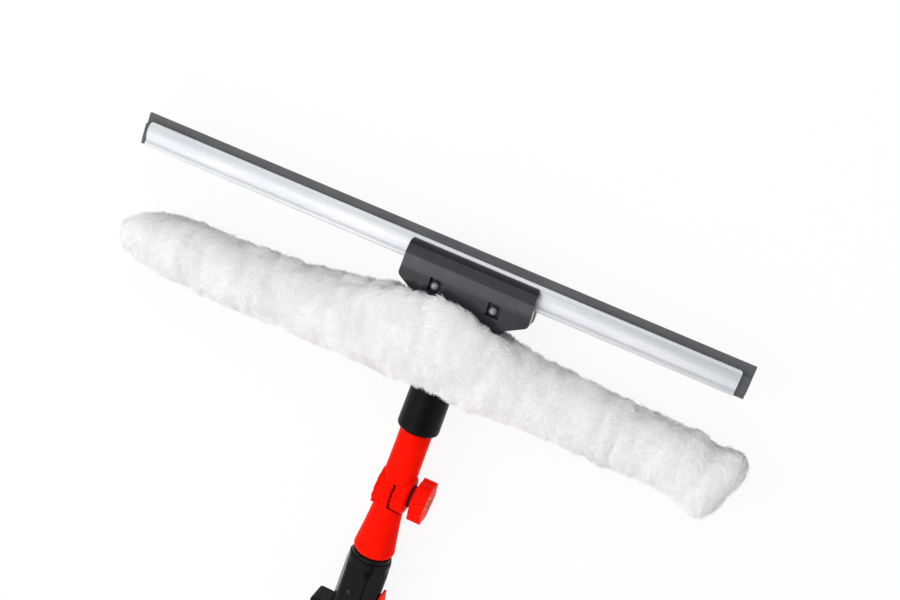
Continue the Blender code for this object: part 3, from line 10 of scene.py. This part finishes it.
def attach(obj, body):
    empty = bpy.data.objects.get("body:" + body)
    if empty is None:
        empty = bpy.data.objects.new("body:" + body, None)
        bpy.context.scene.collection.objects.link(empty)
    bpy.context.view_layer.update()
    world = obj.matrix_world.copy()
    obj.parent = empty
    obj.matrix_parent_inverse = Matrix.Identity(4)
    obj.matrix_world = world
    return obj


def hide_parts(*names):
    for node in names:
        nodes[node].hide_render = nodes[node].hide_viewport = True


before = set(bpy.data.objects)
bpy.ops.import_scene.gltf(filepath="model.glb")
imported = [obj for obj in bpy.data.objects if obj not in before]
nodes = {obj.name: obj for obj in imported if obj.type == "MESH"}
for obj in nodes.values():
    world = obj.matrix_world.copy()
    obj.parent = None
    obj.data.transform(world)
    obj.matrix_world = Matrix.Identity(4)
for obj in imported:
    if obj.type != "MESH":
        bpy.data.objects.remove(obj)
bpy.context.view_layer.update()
mm = 0.001
tiny = 1e-9                              # least length that is divided by
print("frame loaded,", len(nodes), "pieces")


def linearColour(code):
    channels = [int(code[place:place + 2], 16) / 255 for place in (1, 3, 5)]
    return tuple(c / 12.92 if c <= 0.04045 else ((c + 0.055) / 1.055) ** 2.4 for c in channels) + (1,)


def emptyTree(owner):
    # The node tree of a material or world, cleared of the nodes that it starts with
    owner.use_nodes = True
    owner.node_tree.nodes.clear()
    return owner.node_tree


def addNode(tree, kind, settings={}, links={}):
    node = tree.nodes.new("ShaderNode" + kind)
    for name, value in settings.items():
        if isinstance(name, str) and hasattr(node, name):
            setattr(node, name, value)
        else:
            node.inputs[name].default_value = value
    for name, source in links.items():
        tree.links.new(source, node.inputs[name])
    return node


def addObject(name, data):
    added = bpy.data.objects.new(name, data)
    bpy.context.scene.collection.objects.link(added)
    return added


def buildFinish(look):
    # Fine grain for the bump, a slow cloud for colour and gloss, and long scratches or streaks. The sizes of
    # grain, cloud and scratch and the depth are in millimetres, and a small stretch draws a pattern out
    material = bpy.data.materials.new(look["name"])
    tree = emptyTree(material)
    shader = addNode(tree, "BsdfPrincipled", look.get("shader", {}))
    addNode(tree, "OutputMaterial", {}, {"Surface": shader.outputs[0]})
    place = addNode(tree, "TexCoord").outputs["Object"]
    even = (1, 1, 1)
    grainPlace = addNode(tree, "Mapping", {"Scale": look.get("grainStretch", even)}, {"Vector": place})
    grain = addNode(tree, "TexNoise", {"Scale": 1 / (look["grain"] * mm), "Detail": 3, "Roughness": 0.6},
                    {"Vector": grainPlace.outputs[0]})
    cloudPlace = addNode(tree, "Mapping", {"Scale": look.get("cloudStretch", even)}, {"Vector": place})
    cloud = addNode(tree, "TexNoise", {"Scale": 1 / (look["cloud"] * mm), "Detail": 4, "Roughness": 0.55},
                    {"Vector": cloudPlace.outputs[0]})
    spread = addNode(tree, "MapRange", {"From Min": 0.32, "From Max": 0.68}, {"Value": cloud.outputs["Fac"]})
    colours = {6: linearColour(look["colour"]), 7: linearColour(look["shade"])}
    colour = addNode(tree, "Mix", {"data_type": "RGBA", **colours}, {0: spread.outputs[0]})
    tree.links.new(colour.outputs[2], shader.inputs["Base Color"])
    low, high = look["gloss"]
    gloss = addNode(tree, "MapRange", {"From Min": 0.3, "From Max": 0.7, "To Min": low, "To Max": high},
                    {"Value": cloud.outputs["Fac"]})
    gloss = gloss.outputs[0]
    height = grain.outputs["Fac"]
    if "scratch" in look:
        scratchPlace = addNode(tree, "Mapping", {"Scale": look["scratchStretch"]}, {"Vector": place})
        scratch = addNode(tree, "TexNoise", {"Scale": 1 / (look["scratch"] * mm), "Detail": 2},
                          {"Vector": scratchPlace.outputs[0]})
        lines = addNode(tree, "MapRange",
                        {"From Min": 0.56, "From Max": 0.66, "To Max": look["scratchGloss"]},
                        {"Value": scratch.outputs["Fac"]})
        gloss = addNode(tree, "Math", {"operation": "ADD", "use_clamp": True},
                        {0: gloss, 1: lines.outputs[0]}).outputs[0]
        height = addNode(tree, "Math", {"operation": "SUBTRACT"}, {0: height, 1: lines.outputs[0]}).outputs[0]
    tree.links.new(gloss, shader.inputs["Roughness"])
    bump = addNode(tree, "Bump", {"Strength": look.get("bumpStrength", 0.6), "Distance": look["depth"] * mm},
                   {"Height": height})
    tree.links.new(bump.outputs[0], shader.inputs["Normal"])
    return material


# EPDM rubber, extruded and cut: dull dark grey, with drawing lines along the strip and a chalky bloom
rubberFinish = buildFinish({
    "name": "EPDM rubber, extruded", "colour": "#535356", "shade": "#49494c", "gloss": (0.50, 0.66),
    "grain": 0.25, "grainStretch": (0.05, 1, 1), "depth": 0.03, "cloud": 9, "cloudStretch": (0.3, 1, 1),
    "shader": {"IOR": 1.5}})

# Anodised aluminium, extruded: satin and bright, with fine die lines along the length
channelFinish = buildFinish({
    "name": "anodised aluminium, extruded", "colour": "#f4f4f8", "shade": "#eaebef", "gloss": (0.44, 0.54),
    "grain": 0.35, "grainStretch": (0.012, 1, 1), "depth": 0.02, "cloud": 14, "cloudStretch": (0.15, 1, 1),
    "scratch": 0.9, "scratchStretch": (0.02, 1, 1), "scratchGloss": 0.10, "shader": {"Metallic": 1.0}})

# The same metal drawn as tube: the die lines run along the handle
tubeFinish = buildFinish({
    "name": "anodised aluminium, drawn tube", "colour": "#dcdde0", "shade": "#cfd0d4", "gloss": (0.24, 0.38),
    "grain": 0.35, "grainStretch": (1, 0.012, 1), "depth": 0.02, "cloud": 14, "cloudStretch": (1, 0.15, 1),
    "scratch": 0.8, "scratchStretch": (1, 0.03, 1), "scratchGloss": 0.12, "shader": {"Metallic": 1.0}})

# Glass-filled nylon, moulded in a smooth tool: dark grey, with a clear highlight where it bulges
jawFinish = buildFinish({
    "name": "glass-filled nylon, moulded", "colour": "#232127", "shade": "#1d1b20", "gloss": (0.13, 0.17),
    "grain": 0.30, "depth": 0.010, "bumpStrength": 0.2, "cloud": 11,
    "shader": {"IOR": 1.53, "Specular IOR Level": 0.32}})

# Polypropylene, moulded: near black, slightly waxy
blackFinish = buildFinish({
    "name": "polypropylene, moulded black", "colour": "#0d0d0f", "shade": "#0a0a0b", "gloss": (0.30, 0.38),
    "grain": 0.35, "depth": 0.015, "bumpStrength": 0.4, "cloud": 10, "scratch": 1.0,
    "scratchStretch": (1, 0.3, 1), "scratchGloss": 0.06, "shader": {"IOR": 1.49, "Specular IOR Level": 0.08}})

# ABS, moulded in a polished tool: black with sharp but faint reflections and hairline marks from use
glossFinish = buildFinish({
    "name": "ABS, moulded glossy black", "colour": "#0f0f11", "shade": "#0b0b0d", "gloss": (0.22, 0.28),
    "grain": 0.8, "depth": 0.008, "bumpStrength": 0.4, "cloud": 12, "scratch": 0.7,
    "scratchStretch": (0.8, 0.12, 0.8), "scratchGloss": 0.05,
    "shader": {"IOR": 1.54, "Specular IOR Level": 0.08}})

# ABS, moulded red: strong warm red that hardly mirrors, as the photo's even red asks for
redFinish = buildFinish({
    "name": "ABS, moulded red", "colour": "#f31401", "shade": "#e60d00", "gloss": (0.34, 0.44),
    "grain": 0.5, "depth": 0.02, "cloud": 10, "scratch": 0.9, "scratchStretch": (0.5, 0.25, 0.5),
    "scratchGloss": 0.06, "shader": {"IOR": 1.54, "Specular IOR Level": 0.02}})

# Zinc-plated steel: grey metal with a faintly mottled plating
steelFinish = buildFinish({
    "name": "zinc-plated steel", "colour": "#b4b4b7", "shade": "#9c9c9f", "gloss": (0.40, 0.52),
    "grain": 0.4, "depth": 0.015, "cloud": 2.5, "shader": {"Metallic": 0.85}})

# Blackened steel: a dark oxide coat with a dull oily sheen
blackSteelFinish = buildFinish({
    "name": "steel, black oxide", "colour": "#3a3a3c", "shade": "#2c2c2e", "gloss": (0.34, 0.48),
    "grain": 0.4, "depth": 0.015, "cloud": 2.5, "shader": {"Metallic": 1.0}})

# Brass, turned from bar: fine rings round the nut's axis
brassFinish = buildFinish({
    "name": "brass, turned", "colour": "#dcb968", "shade": "#c9a350", "gloss": (0.22, 0.34),
    "grain": 0.3, "grainStretch": (1, 0.2, 0.2), "depth": 0.015, "cloud": 3, "shader": {"Metallic": 1.0}})

# EVA foam, moulded: dull black skin with open pores
foamFinish = buildFinish({
    "name": "EVA foam, moulded", "colour": "#29292b", "shade": "#202022", "gloss": (0.72, 0.90),
    "grain": 0.55, "depth": 0.25, "bumpStrength": 0.9, "cloud": 8, "shader": {"IOR": 1.45}})

# Nylon hook tape, woven: black and dull, with hooks about a millimetre apart
tapeFinish = buildFinish({
    "name": "nylon hook tape, woven", "colour": "#1d1d1f", "shade": "#151517", "gloss": (0.66, 0.85),
    "grain": 0.9, "depth": 0.35, "bumpStrength": 1.0, "cloud": 5, "shader": {"IOR": 1.5}})

finishes = {
    rubberFinish: ["squeegee_rubber", "brake_pad"],
    channelFinish: ["squeegee_channel"],
    tubeFinish: ["inner_tube", "outer_tube"],
    jawFinish: ["clamp_front_jaw", "clamp_rear_jaw"],
    blackFinish: ["t_bar", "end_cap", "inner_tube_bush", "lock_housing"],
    glossFinish: ["pole_tip"],
    redFinish: ["upper_swivel_arm", "lower_swivel_arm", "swivel_knob", "lock_lever"],
    steelFinish: ["jaw_screw_left", "jaw_screw_right", "jaw_nut_left", "jaw_nut_right", "ferrule_screw",
                  "swivel_bolt", "lever_pin", "housing_screw", "housing_nut"],
    blackSteelFinish: ["thrust_washer", "tip_screw"],
    tapeFinish: ["sleeve_closure_tape"],
    brassFinish: ["knob_nut"],
    foamFinish: ["hand_grip"]}
for material, names in finishes.items():
    for name in names:
        nodes[name].data.materials.clear()
        nodes[name].data.materials.append(material)
print("finishes on the frame's pieces")


plushLook = {
    "name": "microfibre plush, cut pile", "cloud": 16, "knit": 0.9, "depth": 0.4, "bumpStrength": 0.6,
    # the roots' colours are painted shade between the tufts, greyer than the tips
    "roots": ("#ecebec", "#e6e5e7"), "tips": ("#fefdfd", "#f9f8f8"),
    "shader": {"Roughness": 0.85, "IOR": 1.45, "Sheen Weight": 0.25, "Sheen Roughness": 0.5}}


def plushFinish(look):
    # Microfibre pile: white, soft and matt, with painted shade greying the roots between the tufts. Sizes are
    # in mm
    material = bpy.data.materials.new(look["name"])
    tree = emptyTree(material)
    shader = addNode(tree, "BsdfPrincipled", look["shader"])
    addNode(tree, "OutputMaterial", {}, {"Surface": shader.outputs[0]})
    place = addNode(tree, "TexCoord").outputs["Object"]
    cloud = addNode(tree, "TexNoise", {"Scale": 1 / (look["cloud"] * mm), "Detail": 3}, {"Vector": place})
    rootShadeAndTips = []
    for pair in (look["roots"], look["tips"]):
        colours = {6: linearColour(pair[0]), 7: linearColour(pair[1])}
        end = addNode(tree, "Mix", {"data_type": "RGBA", **colours}, {0: cloud.outputs["Fac"]})
        rootShadeAndTips.append(end.outputs[2])
    # the pile attribute mixes from the painted root shade to the white tips; the backing has no such
    # attribute and takes the painted root shade all over
    along = addNode(tree, "Attribute", {"attribute_name": "pile"})
    colour = addNode(tree, "Mix", {"data_type": "RGBA"}, {0: along.outputs["Fac"], 6: rootShadeAndTips[0], 7: rootShadeAndTips[1]})
    tree.links.new(colour.outputs[2], shader.inputs["Base Color"])
    knit = addNode(tree, "TexNoise", {"Scale": 1 / (look["knit"] * mm), "Detail": 3}, {"Vector": place})
    bump = addNode(tree, "Bump", {"Strength": look["bumpStrength"], "Distance": look["depth"] * mm},
                   {"Height": knit.outputs["Fac"]})
    tree.links.new(bump.outputs[0], shader.inputs["Normal"])
    return material


hub = Vector((0.022, 0.196517, 0.025))   # where the handle's line meets the washer bar
sleeve = {
    "leftReach": 0.258, "rightReach": 0.213, "radius": 0.0255,
    "pile": 0.0036,                      # thickness of the pile over the knitted backing
    "under": (0.6, 0.5),                 # share of it left under the backing, before and after the lumps
    # place along the sleeve, middle, half height, front and back half depth, as shares
    "stations": (
        (-1.000, -0.26, 0.22, 0.20, 0.20), (-0.985, -0.20, 0.46, 0.42, 0.42),
        (-0.945, -0.12, 0.72, 0.68, 0.68), (-0.885, -0.06, 0.90, 0.88, 0.90),
        (-0.790, -0.04, 1.00, 1.00, 1.06), (-0.630, -0.03, 1.03, 1.02, 1.06),
        (-0.470, 0.06, 1.07, 1.05, 1.06), (-0.320, 0.20, 1.20, 1.10, 1.06), (-0.180, 0.36, 1.31, 1.18, 1.06),
        (-0.040, 0.36, 1.30, 1.26, 1.06), (0.140, 0.34, 1.23, 1.22, 1.06), (0.280, 0.25, 1.08, 1.14, 1.06),
        (0.460, 0.22, 1.01, 1.07, 1.06), (0.640, 0.20, 0.96, 1.03, 1.06), (0.770, 0.18, 0.93, 1.00, 1.06),
        (0.850, 0.15, 0.99, 1.02, 1.06), (0.900, 0.01, 0.96, 1.00, 1.06), (0.930, 0.00, 1.07, 1.08, 1.06),
        (0.950, -0.03, 1.16, 1.08, 1.04), (0.980, -0.06, 1.10, 0.94, 0.92), (1.000, -0.04, 0.70, 0.56, 0.56)),
    "slant": (0.80, 0.36),               # from this place on the right end is cut at a slant
    # fur that bulges over the front jaw's foot: place along the blade, half width, reach, start height
    "overJaw": (-0.012, 0.060, 0.0165, 0.008),
    "sides": 64, "rows": 110,            # of the cylinder that it is formed from
    "voxel": 0.005, "pressure": 4, "frames": 20,
    "swell": 0.0025,                     # the most that the cloth's pressure moves a point
    # size along and across the sleeve, and depth, of the large lumps, the locks and the small lumps
    "lumps": ((0.034, 0.034, 0.0014), (0.0065, 0.019, 0.0014), (0.012, 0.012, 0.0008))}


def backingPoint(place, angle, table, look):
    # A spot on the backing, by the place along the sleeve from -1 to 1 and the angle round it
    middle, height, front, back = (np.interp(place, table[:, 0], table[:, column]) for column in (1, 2, 3, 4))
    radius, pile = look["radius"], look["pile"]
    reach = look["rightReach"] if place > 0 else look["leftReach"]
    depth = front if sin(angle) > 0 else back
    lowest = pile * look["under"][0] - hub.z
    spot = Vector((place * (reach - pile),
                   middle * radius + max(height * radius - pile, pile) * cos(angle),
                   max(max(depth * radius - pile, pile) * sin(angle), lowest)))
    slantStart, slant = look["slant"]
    spot.x += slant * spot.y * max(0, place - slantStart) / (1 - slantStart)
    at, width, bulge, start = look["overJaw"]
    if spot.z > start and spot.y > 0:
        raised = min(1, (spot.z - start) / start) * min(1, spot.y / radius)
        spot.y += bulge * raised * exp(-((spot.x - at) / width) ** 2)
    return hub + spot


def sleeveBacking(look):
    bm = bmesh.new()
    bmesh.ops.create_cone(bm, cap_ends=True, segments=look["sides"], radius1=1, radius2=1, depth=2)
    fromEndToEnd = [edge for edge in bm.edges if abs(edge.verts[0].co.z - edge.verts[1].co.z) > 1]
    bmesh.ops.subdivide_edges(bm, edges=fromEndToEnd, cuts=look["rows"], use_grid_fill=True)
    table = np.array(look["stations"])
    for vertex in bm.verts:
        vertex.co = backingPoint(vertex.co.z, atan2(vertex.co.y, vertex.co.x), table, look)
    bmesh.ops.smooth_vert(bm, verts=bm.verts, factor=0.5, use_axis_x=True, use_axis_y=True, use_axis_z=True)
    bmesh.ops.recalc_face_normals(bm, faces=bm.faces)
    mesh = bpy.data.meshes.new("plush_sleeve_backing")
    bm.to_mesh(mesh)
    bm.free()
    return addObject("plush_sleeve_backing", mesh)


def applyModifiers(piece):
    graph = bpy.context.evaluated_depsgraph_get()
    mesh = bpy.data.meshes.new_from_object(piece.evaluated_get(graph))
    piece.modifiers.clear()
    piece.data = mesh


def meshPoints(mesh, kind="co"):
    points = np.empty(len(mesh.vertices) * 3)
    mesh.vertices.foreach_get(kind, points)
    return points.reshape(-1, 3)


def inflate(piece, look):
    # Cloth under pressure puffs the backing out into soft folds
    remesh = piece.modifiers.new("remesh", "REMESH")
    remesh.mode = "VOXEL"
    remesh.voxel_size = look["voxel"]
    applyModifiers(piece)
    start = meshPoints(piece.data)
    cloth = piece.modifiers.new("cloth", "CLOTH")
    cloth.settings.use_pressure = True
    cloth.settings.uniform_pressure_force = look["pressure"]
    cloth.settings.effector_weights.gravity = 0
    cloth.point_cache.frame_start = 1
    cloth.point_cache.frame_end = look["frames"]
    for number in range(1, look["frames"] + 1):
        bpy.context.scene.frame_set(number)
    applyModifiers(piece)
    move = meshPoints(piece.data) - start
    reach = np.linalg.norm(move, axis=1, keepdims=True)
    move *= np.minimum(1, look["swell"] / np.maximum(reach, tiny))
    piece.data.vertices.foreach_set("co", (start + move).ravel())
    bpy.context.scene.frame_set(1)


def lumpSurface(piece, look):
    soften = piece.modifiers.new("soften", "SUBSURF")
    soften.levels = 2
    soften.render_levels = 2
    applyModifiers(piece)
    points, normals = meshPoints(piece.data), meshPoints(piece.data, "normal")
    for along, across, depth in look["lumps"]:
        lift = [noise.noise(Vector(spot)) for spot in points / (along, across, across)]
        points += normals * np.array(lift)[:, None] * depth
    points[:, 2] = np.maximum(points[:, 2], look["pile"] * look["under"][1])
    piece.data.vertices.foreach_set("co", points.ravel())
    piece.data.shade_smooth()


plush = plushFinish(plushLook)
backing = sleeveBacking(sleeve)
inflate(backing, sleeve)
lumpSurface(backing, sleeve)
backing.data.materials.clear()
backing.data.materials.append(plush)
print("sleeve backing,", len(backing.data.polygons), "faces")


fur = {
    "seed": 12,
    "strands": 140000, "length": 0.0060, "lengthShares": (0.6, 1.0),
    "radius": 0.00016, "radiusShares": (0.75, 1.25),
    "taper": (1.0, 0.85),                # thickness at a strand's root and middle; it ends in a point
    "steep": 0.8,                        # an axis that rises more than this is crossed with x and not with z
    # the pile lies in swirls of this size, swung so far to both sides, and rises by a share of its length
    "swirl": 0.026, "swing": 0.8, "lift": 0.42,
    # tufts gather the strands near them: reach and spread of their tips in strand lengths, and their pull
    "tufts": 3200, "tuftReach": (0.8, 1.1), "tuftSpread": 0.10, "pull": (0.10, 0.50),
    "stray": 0.16,                       # how far a strand goes its own way
    "standing": (0.04, 1.9),             # share of the strands that stand up, and their lift over the others'
    "tipReach": 0.9,                     # a bent strand's tip comes less far than its length
    "bend": (1.25, 0.55, 0.5, 0.5),      # lift, lie, stray and length, as shares, that place its middle
    "rootDepth": 0.0004,                 # roots start below the backing's surface
    "floorGap": (1.5, 0.0003),           # height over the floor, in radii, and what chance adds to it
    "roundness": (0.9, 0.3),             # how much a strand is lit as a hair, at its rings and at its tip
    "levels": (0.1, 0.7, 1.0),           # how much of the tips' white over the painted root shade, at root, middle and tip
    # where no pile grows: the socket's radius and top, and the jaws' half width, foot and half depth
    "socket": (0.0156, 0.018), "jaws": (0.0484, 0.0376, 0.0106)}


def unit(lines):
    return lines / np.maximum(np.linalg.norm(lines, axis=1, keepdims=True), tiny)


def combLines(points, normals, look):
    # The way the pile lies: mostly across the sleeve, swung to both sides from place to place
    across = unit(np.cross((1.0, 0.0, 0.0), normals))
    along = np.cross(normals, across)
    swing = np.array([noise.noise(Vector(point) / look["swirl"]) for point in points])[:, None]
    swing = swing * look["swing"] * pi
    return across * np.cos(swing) + along * np.sin(swing)


def readSurface(mesh, look):
    # Corners and areas of the triangles, and the points, normals and combed lines that the corners stand for
    mesh.calc_loop_triangles()
    points, normals = meshPoints(mesh), meshPoints(mesh, "normal")
    corners = np.empty(len(mesh.loop_triangles) * 3, dtype=np.int32)
    mesh.loop_triangles.foreach_get("vertices", corners)
    corners = corners.reshape(-1, 3)
    a, b, c = (points[corners[:, side]] for side in range(3))
    areas = np.linalg.norm(np.cross(b - a, c - a), axis=1)
    return corners, areas, (points, normals, combLines(points, normals, look))


def scatter(surface, count, rng):
    # Random spots, each with the normal and the combed line there
    corners, areas, fields = surface
    pick = rng.choice(len(areas), count, p=areas / areas.sum())
    u, v = rng.random((2, count, 1))
    u, v = np.where(u + v > 1, 1 - u, u), np.where(u + v > 1, 1 - v, v)
    shares = (1 - u - v, u, v)
    spots, leans, lies = (sum(values[corners[pick, side]] * share for side, share in enumerate(shares))
                          for values in fields)
    return spots, unit(leans), unit(lies)


def growTufts(surface, look, rng):
    # A search tree of the tufts' roots, and their tips
    count = look["tufts"]
    roots, leans, lies = scatter(surface, count, rng)
    reach = look["length"] * rng.uniform(*look["tuftReach"], (count, 1))
    tips = roots + (leans * look["lift"] + lies) * reach
    tips += rng.normal(0, look["length"] * look["tuftSpread"], tips.shape)
    tree = KDTree(count)
    for index, spot in enumerate(roots):
        tree.insert(spot, index)
    tree.balance()
    return tree, tips


def isFree(line, look):
    # Pile keeps out of the bar's socket and out of the jaws
    x, y, z = (line - np.array(hub)).T
    radius, top = look["socket"]
    halfWidth, foot, halfDepth = look["jaws"]
    inSocket = (np.hypot(x, z) < radius) & (y < top)
    inJaws = (np.abs(x) < halfWidth) & (y > foot) & (np.abs(z) < halfDepth)
    return ~(inSocket | inJaws)


def growPile(surface, look, rng):
    # Root, middle and tip of each strand, and the surface's normal under it
    tree, tuftTips = growTufts(surface, look, rng)
    count = look["strands"]
    roots, leans, lies = scatter(surface, count, rng)
    nearest = np.array([tree.find(spot)[1] for spot in roots])
    length = look["length"] * rng.uniform(*look["lengthShares"], (count, 1))
    stray = rng.normal(0, look["stray"], (count, 3))
    standing, steeper = look["standing"]
    lift = np.where(rng.random((count, 1)) < standing, look["lift"] * steeper, look["lift"])
    tips = roots + (leans * lift + lies + stray) * length * look["tipReach"]
    pull = rng.uniform(*look["pull"], (count, 1))
    tips = tips * (1 - pull) + tuftTips[nearest] * pull
    bentLift, bentLie, bentStray, bentLength = look["bend"]
    middles = roots + (leans * lift * bentLift + lies * bentLie + stray * bentStray) * length * bentLength
    roots = roots - leans * look["rootDepth"]
    gap, chance = look["floorGap"]
    lowest = look["radius"] * gap
    for line in (roots, middles, tips):
        line[:, 2] = np.maximum(line[:, 2], lowest + rng.uniform(0, chance, count))
    keep = isFree(roots, look) & isFree(middles, look) & isFree(tips, look)
    return roots[keep], middles[keep], tips[keep], leans[keep]


def triangleMesh(name, points, faces):
    mesh = bpy.data.meshes.new(name)
    mesh.vertices.add(len(points))
    mesh.vertices.foreach_set("co", points.ravel())
    mesh.loops.add(faces.size)
    mesh.loops.foreach_set("vertex_index", faces.ravel())
    mesh.polygons.add(len(faces))
    mesh.polygons.foreach_set("loop_start", np.arange(0, faces.size, 3))
    mesh.update(calc_edges=True)
    return mesh


def strandPile(name, strands, look, rng):
    # Each strand is one three-sided tapered hair, two rings and a tip, lit mostly as the surface it lies on
    roots, middles, tips, leans = strands
    count = len(roots)
    sides = 3
    axis = unit(tips - roots)
    isLow = np.abs(axis[:, 2:3]) < look["steep"]
    side = unit(np.cross(axis, np.where(isLow, (0.0, 0.0, 1.0), (1.0, 0.0, 0.0))))
    other = np.cross(axis, side)
    turn = rng.uniform(0, 2 * pi, (count, 1))
    thick = look["radius"] * rng.uniform(*look["radiusShares"], (count, 1))
    ringRoundness, tipRoundness = look["roundness"]
    points, normals = [], []
    for line, share in zip((roots, middles), look["taper"]):
        for step in range(sides):
            angle = turn + step * 2 * pi / sides
            outward = side * np.cos(angle) + other * np.sin(angle)
            points.append(line + outward * thick * share)
            normals.append(unit(leans + outward * ringRoundness))
    points.append(tips)
    normals.append(unit(leans + axis * tipRoundness))
    faces = []
    for step in range(sides):
        after = (step + 1) % sides
        faces += [(step, after, after + sides), (step, after + sides, step + sides),
                  (step + sides, after + sides, 2 * sides)]
    firsts = np.arange(count) * len(points)
    faces = (np.array(faces)[None] + firsts[:, None, None]).reshape(-1, 3)
    mesh = triangleMesh(name, np.stack(points, axis=1).reshape(-1, 3), faces)
    mesh.shade_smooth()
    mesh.normals_split_custom_set_from_vertices(np.stack(normals, axis=1).reshape(-1, 3).tolist())
    level = mesh.attributes.new("pile", "FLOAT", "POINT")
    level.data.foreach_set("value", np.tile(np.repeat(look["levels"], (sides, sides, 1)), count))
    return addObject(name, mesh)


rng = np.random.default_rng(fur["seed"])
strands = growPile(readSurface(backing.data, fur), fur, rng)
pile = strandPile("plush_sleeve_pile", strands, fur, rng)
pile.data.materials.append(plush)
print("sleeve pile,", len(pile.data.polygons), "faces")
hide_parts("washer_sleeve")
pile.visible_shadow = False              # the pile casts no shadow, only the backing does; painted shade at the roots stands in for the pile's own
for piece in (backing, pile):
    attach(piece, "head")

# Camera at the photograph's viewing angle
view = {"spot": (0.1638, 0.486917, 0.8132), "angles": (-12.364, 16.035, 19.968), "sensor": 36, "lens": 49.58}
camera = addObject("camera", bpy.data.cameras.new("camera"))
camera.location = view["spot"]
camera.rotation_euler = [radians(angle) for angle in view["angles"]]
camera.data.sensor_width = view["sensor"]
camera.data.lens = view["lens"]
bpy.context.scene.camera = camera
print("camera placed")


def directRays(tree):
    # 1 for what the camera sees itself, through glass or in a reflection
    seen = addNode(tree, "LightPath")
    direct = seen.outputs["Is Camera Ray"]
    for kind in ("Is Transmission Ray", "Is Glossy Ray"):
        either = addNode(tree, "Math", {"operation": "MAXIMUM"}, {0: direct, 1: seen.outputs[kind]})
        direct = either.outputs[0]
    return direct


def studioWorld():
    # The camera sees white, and surfaces are lit nearly evenly, a little more from the left. Reflections show
    # a white horizon and a white left side under a dim ceiling, so that dark plastics keep dark faces
    world = bpy.data.worlds.new("studio")
    bpy.context.scene.world = world
    tree = emptyTree(world)
    up = addNode(tree, "SeparateXYZ", {}, {0: addNode(tree, "TexCoord").outputs["Generated"]})
    smooth = {"interpolation_type": "SMOOTHSTEP"}
    ceiling = addNode(tree, "MapRange",
                      {**smooth, "From Min": 0.40, "From Max": 0.68, "To Min": 1.0, "To Max": 0.20},
                      {"Value": up.outputs["Z"]})
    left = addNode(tree, "MapRange",
                   {**smooth, "From Min": -0.40, "From Max": -0.13, "To Min": 1.0, "To Max": 0.0},
                   {"Value": up.outputs["X"]})
    mirrored = addNode(tree, "Math", {"operation": "MAXIMUM"}, {0: ceiling.outputs[0], 1: left.outputs[0]})
    even = addNode(tree, "MapRange", {"From Min": -0.5, "From Max": 0.5, "To Min": 0.96, "To Max": 0.80},
                   {"Value": up.outputs["X"]})
    strength = addNode(tree, "Mix", {}, {0: directRays(tree), "A": even.outputs[0], "B": mirrored.outputs[0]})
    toCamera = addNode(tree, "LightPath").outputs["Is Camera Ray"]
    strength = addNode(tree, "Mix", {"B": 1.0}, {0: toCamera, "A": strength.outputs[0]})
    sky = addNode(tree, "Background", {"Color": (1, 1, 1, 1)}, {"Strength": strength.outputs[0]})
    addNode(tree, "OutputWorld", {}, {"Surface": sky.outputs[0]})


sweep = {"reach": 6, "height": -0.0002, "paper": "#e2e2e2", "glow": (0.3, 0.9)}


def sweepFinish(look):
    # White paper that glows, more for direct rays than as a light, so that it looks white with faint shadows
    # on it. From below it is clear
    material = bpy.data.materials.new("white paper sweep")
    tree = emptyTree(material)
    paper = addNode(tree, "BsdfDiffuse", {"Color": linearColour(look["paper"])})
    glow = addNode(tree, "Emission", {"Color": (1, 1, 1, 1), "Strength": 1.0})
    least, most = look["glow"]
    share = addNode(tree, "MapRange", {"To Min": least, "To Max": most}, {"Value": directRays(tree)})
    lit = addNode(tree, "MixShader", {}, {0: share.outputs[0], 1: paper.outputs[0], 2: glow.outputs[0]})
    under = addNode(tree, "NewGeometry").outputs["Backfacing"]
    clear = addNode(tree, "BsdfTransparent")
    both = addNode(tree, "MixShader", {}, {0: under, 1: lit.outputs[0], 2: clear.outputs[0]})
    addNode(tree, "OutputMaterial", {}, {"Surface": both.outputs[0]})
    return material


def studioFloor(look):
    mesh = bpy.data.meshes.new("floor")
    bm = bmesh.new()
    bmesh.ops.create_grid(bm, x_segments=1, y_segments=1, size=look["reach"])
    bmesh.ops.translate(bm, verts=bm.verts, vec=(0, 0, look["height"]))
    bm.to_mesh(mesh)
    bm.free()
    mesh.materials.append(sweepFinish(look))
    return addObject("floor", mesh)


# Two lamps overhead only show in reflections, as bands on the clamp's bulge and along the channel, and three
# panels light the scene and show in none
lamps = {
    "strip": {"spot": (-0.20, -0.60, 1.15), "target": (0, 0.20, 0), "size": (1.6, 0.20), "power": 2.7,
              "mirrored": True},
    "sheen": {"spot": (-0.20, 0.22, 1.15), "target": (0, 0.20, 0), "size": (1.6, 0.44), "power": 2.5,
              "mirrored": True},
    "key": {"spot": (-1.50, -0.10, 1.50), "target": (0, 0.12, 0), "size": (1.2, 1.2), "power": 16,
            "mirrored": False},
    "front": {"spot": (-0.30, -1.60, 1.20), "target": (0, 0.12, 0), "size": (1.0, 0.8), "power": 7,
              "mirrored": False},
    "back": {"spot": (0.10, 1.70, 1.20), "target": (0, 0.12, 0), "size": (1.0, 0.8), "power": 7,
             "mirrored": False}}


def addLamp(name, look):
    lamp = addObject(name, bpy.data.lights.new(name, "AREA"))
    lamp.data.shape = "RECTANGLE"
    lamp.data.size, lamp.data.size_y = look["size"]
    lamp.data.energy = look["power"]
    lamp.visible_glossy = look["mirrored"]
    lamp.visible_diffuse = not look["mirrored"]
    lamp.location = look["spot"]
    lamp.rotation_euler = (Vector(look["target"]) - Vector(look["spot"])).to_track_quat("-Z", "Y").to_euler()


studioWorld()
floor = studioFloor(sweep)
for name, look in lamps.items():
    addLamp(name, look)
bpy.context.scene.view_settings.view_transform = "Standard"
print("studio set")
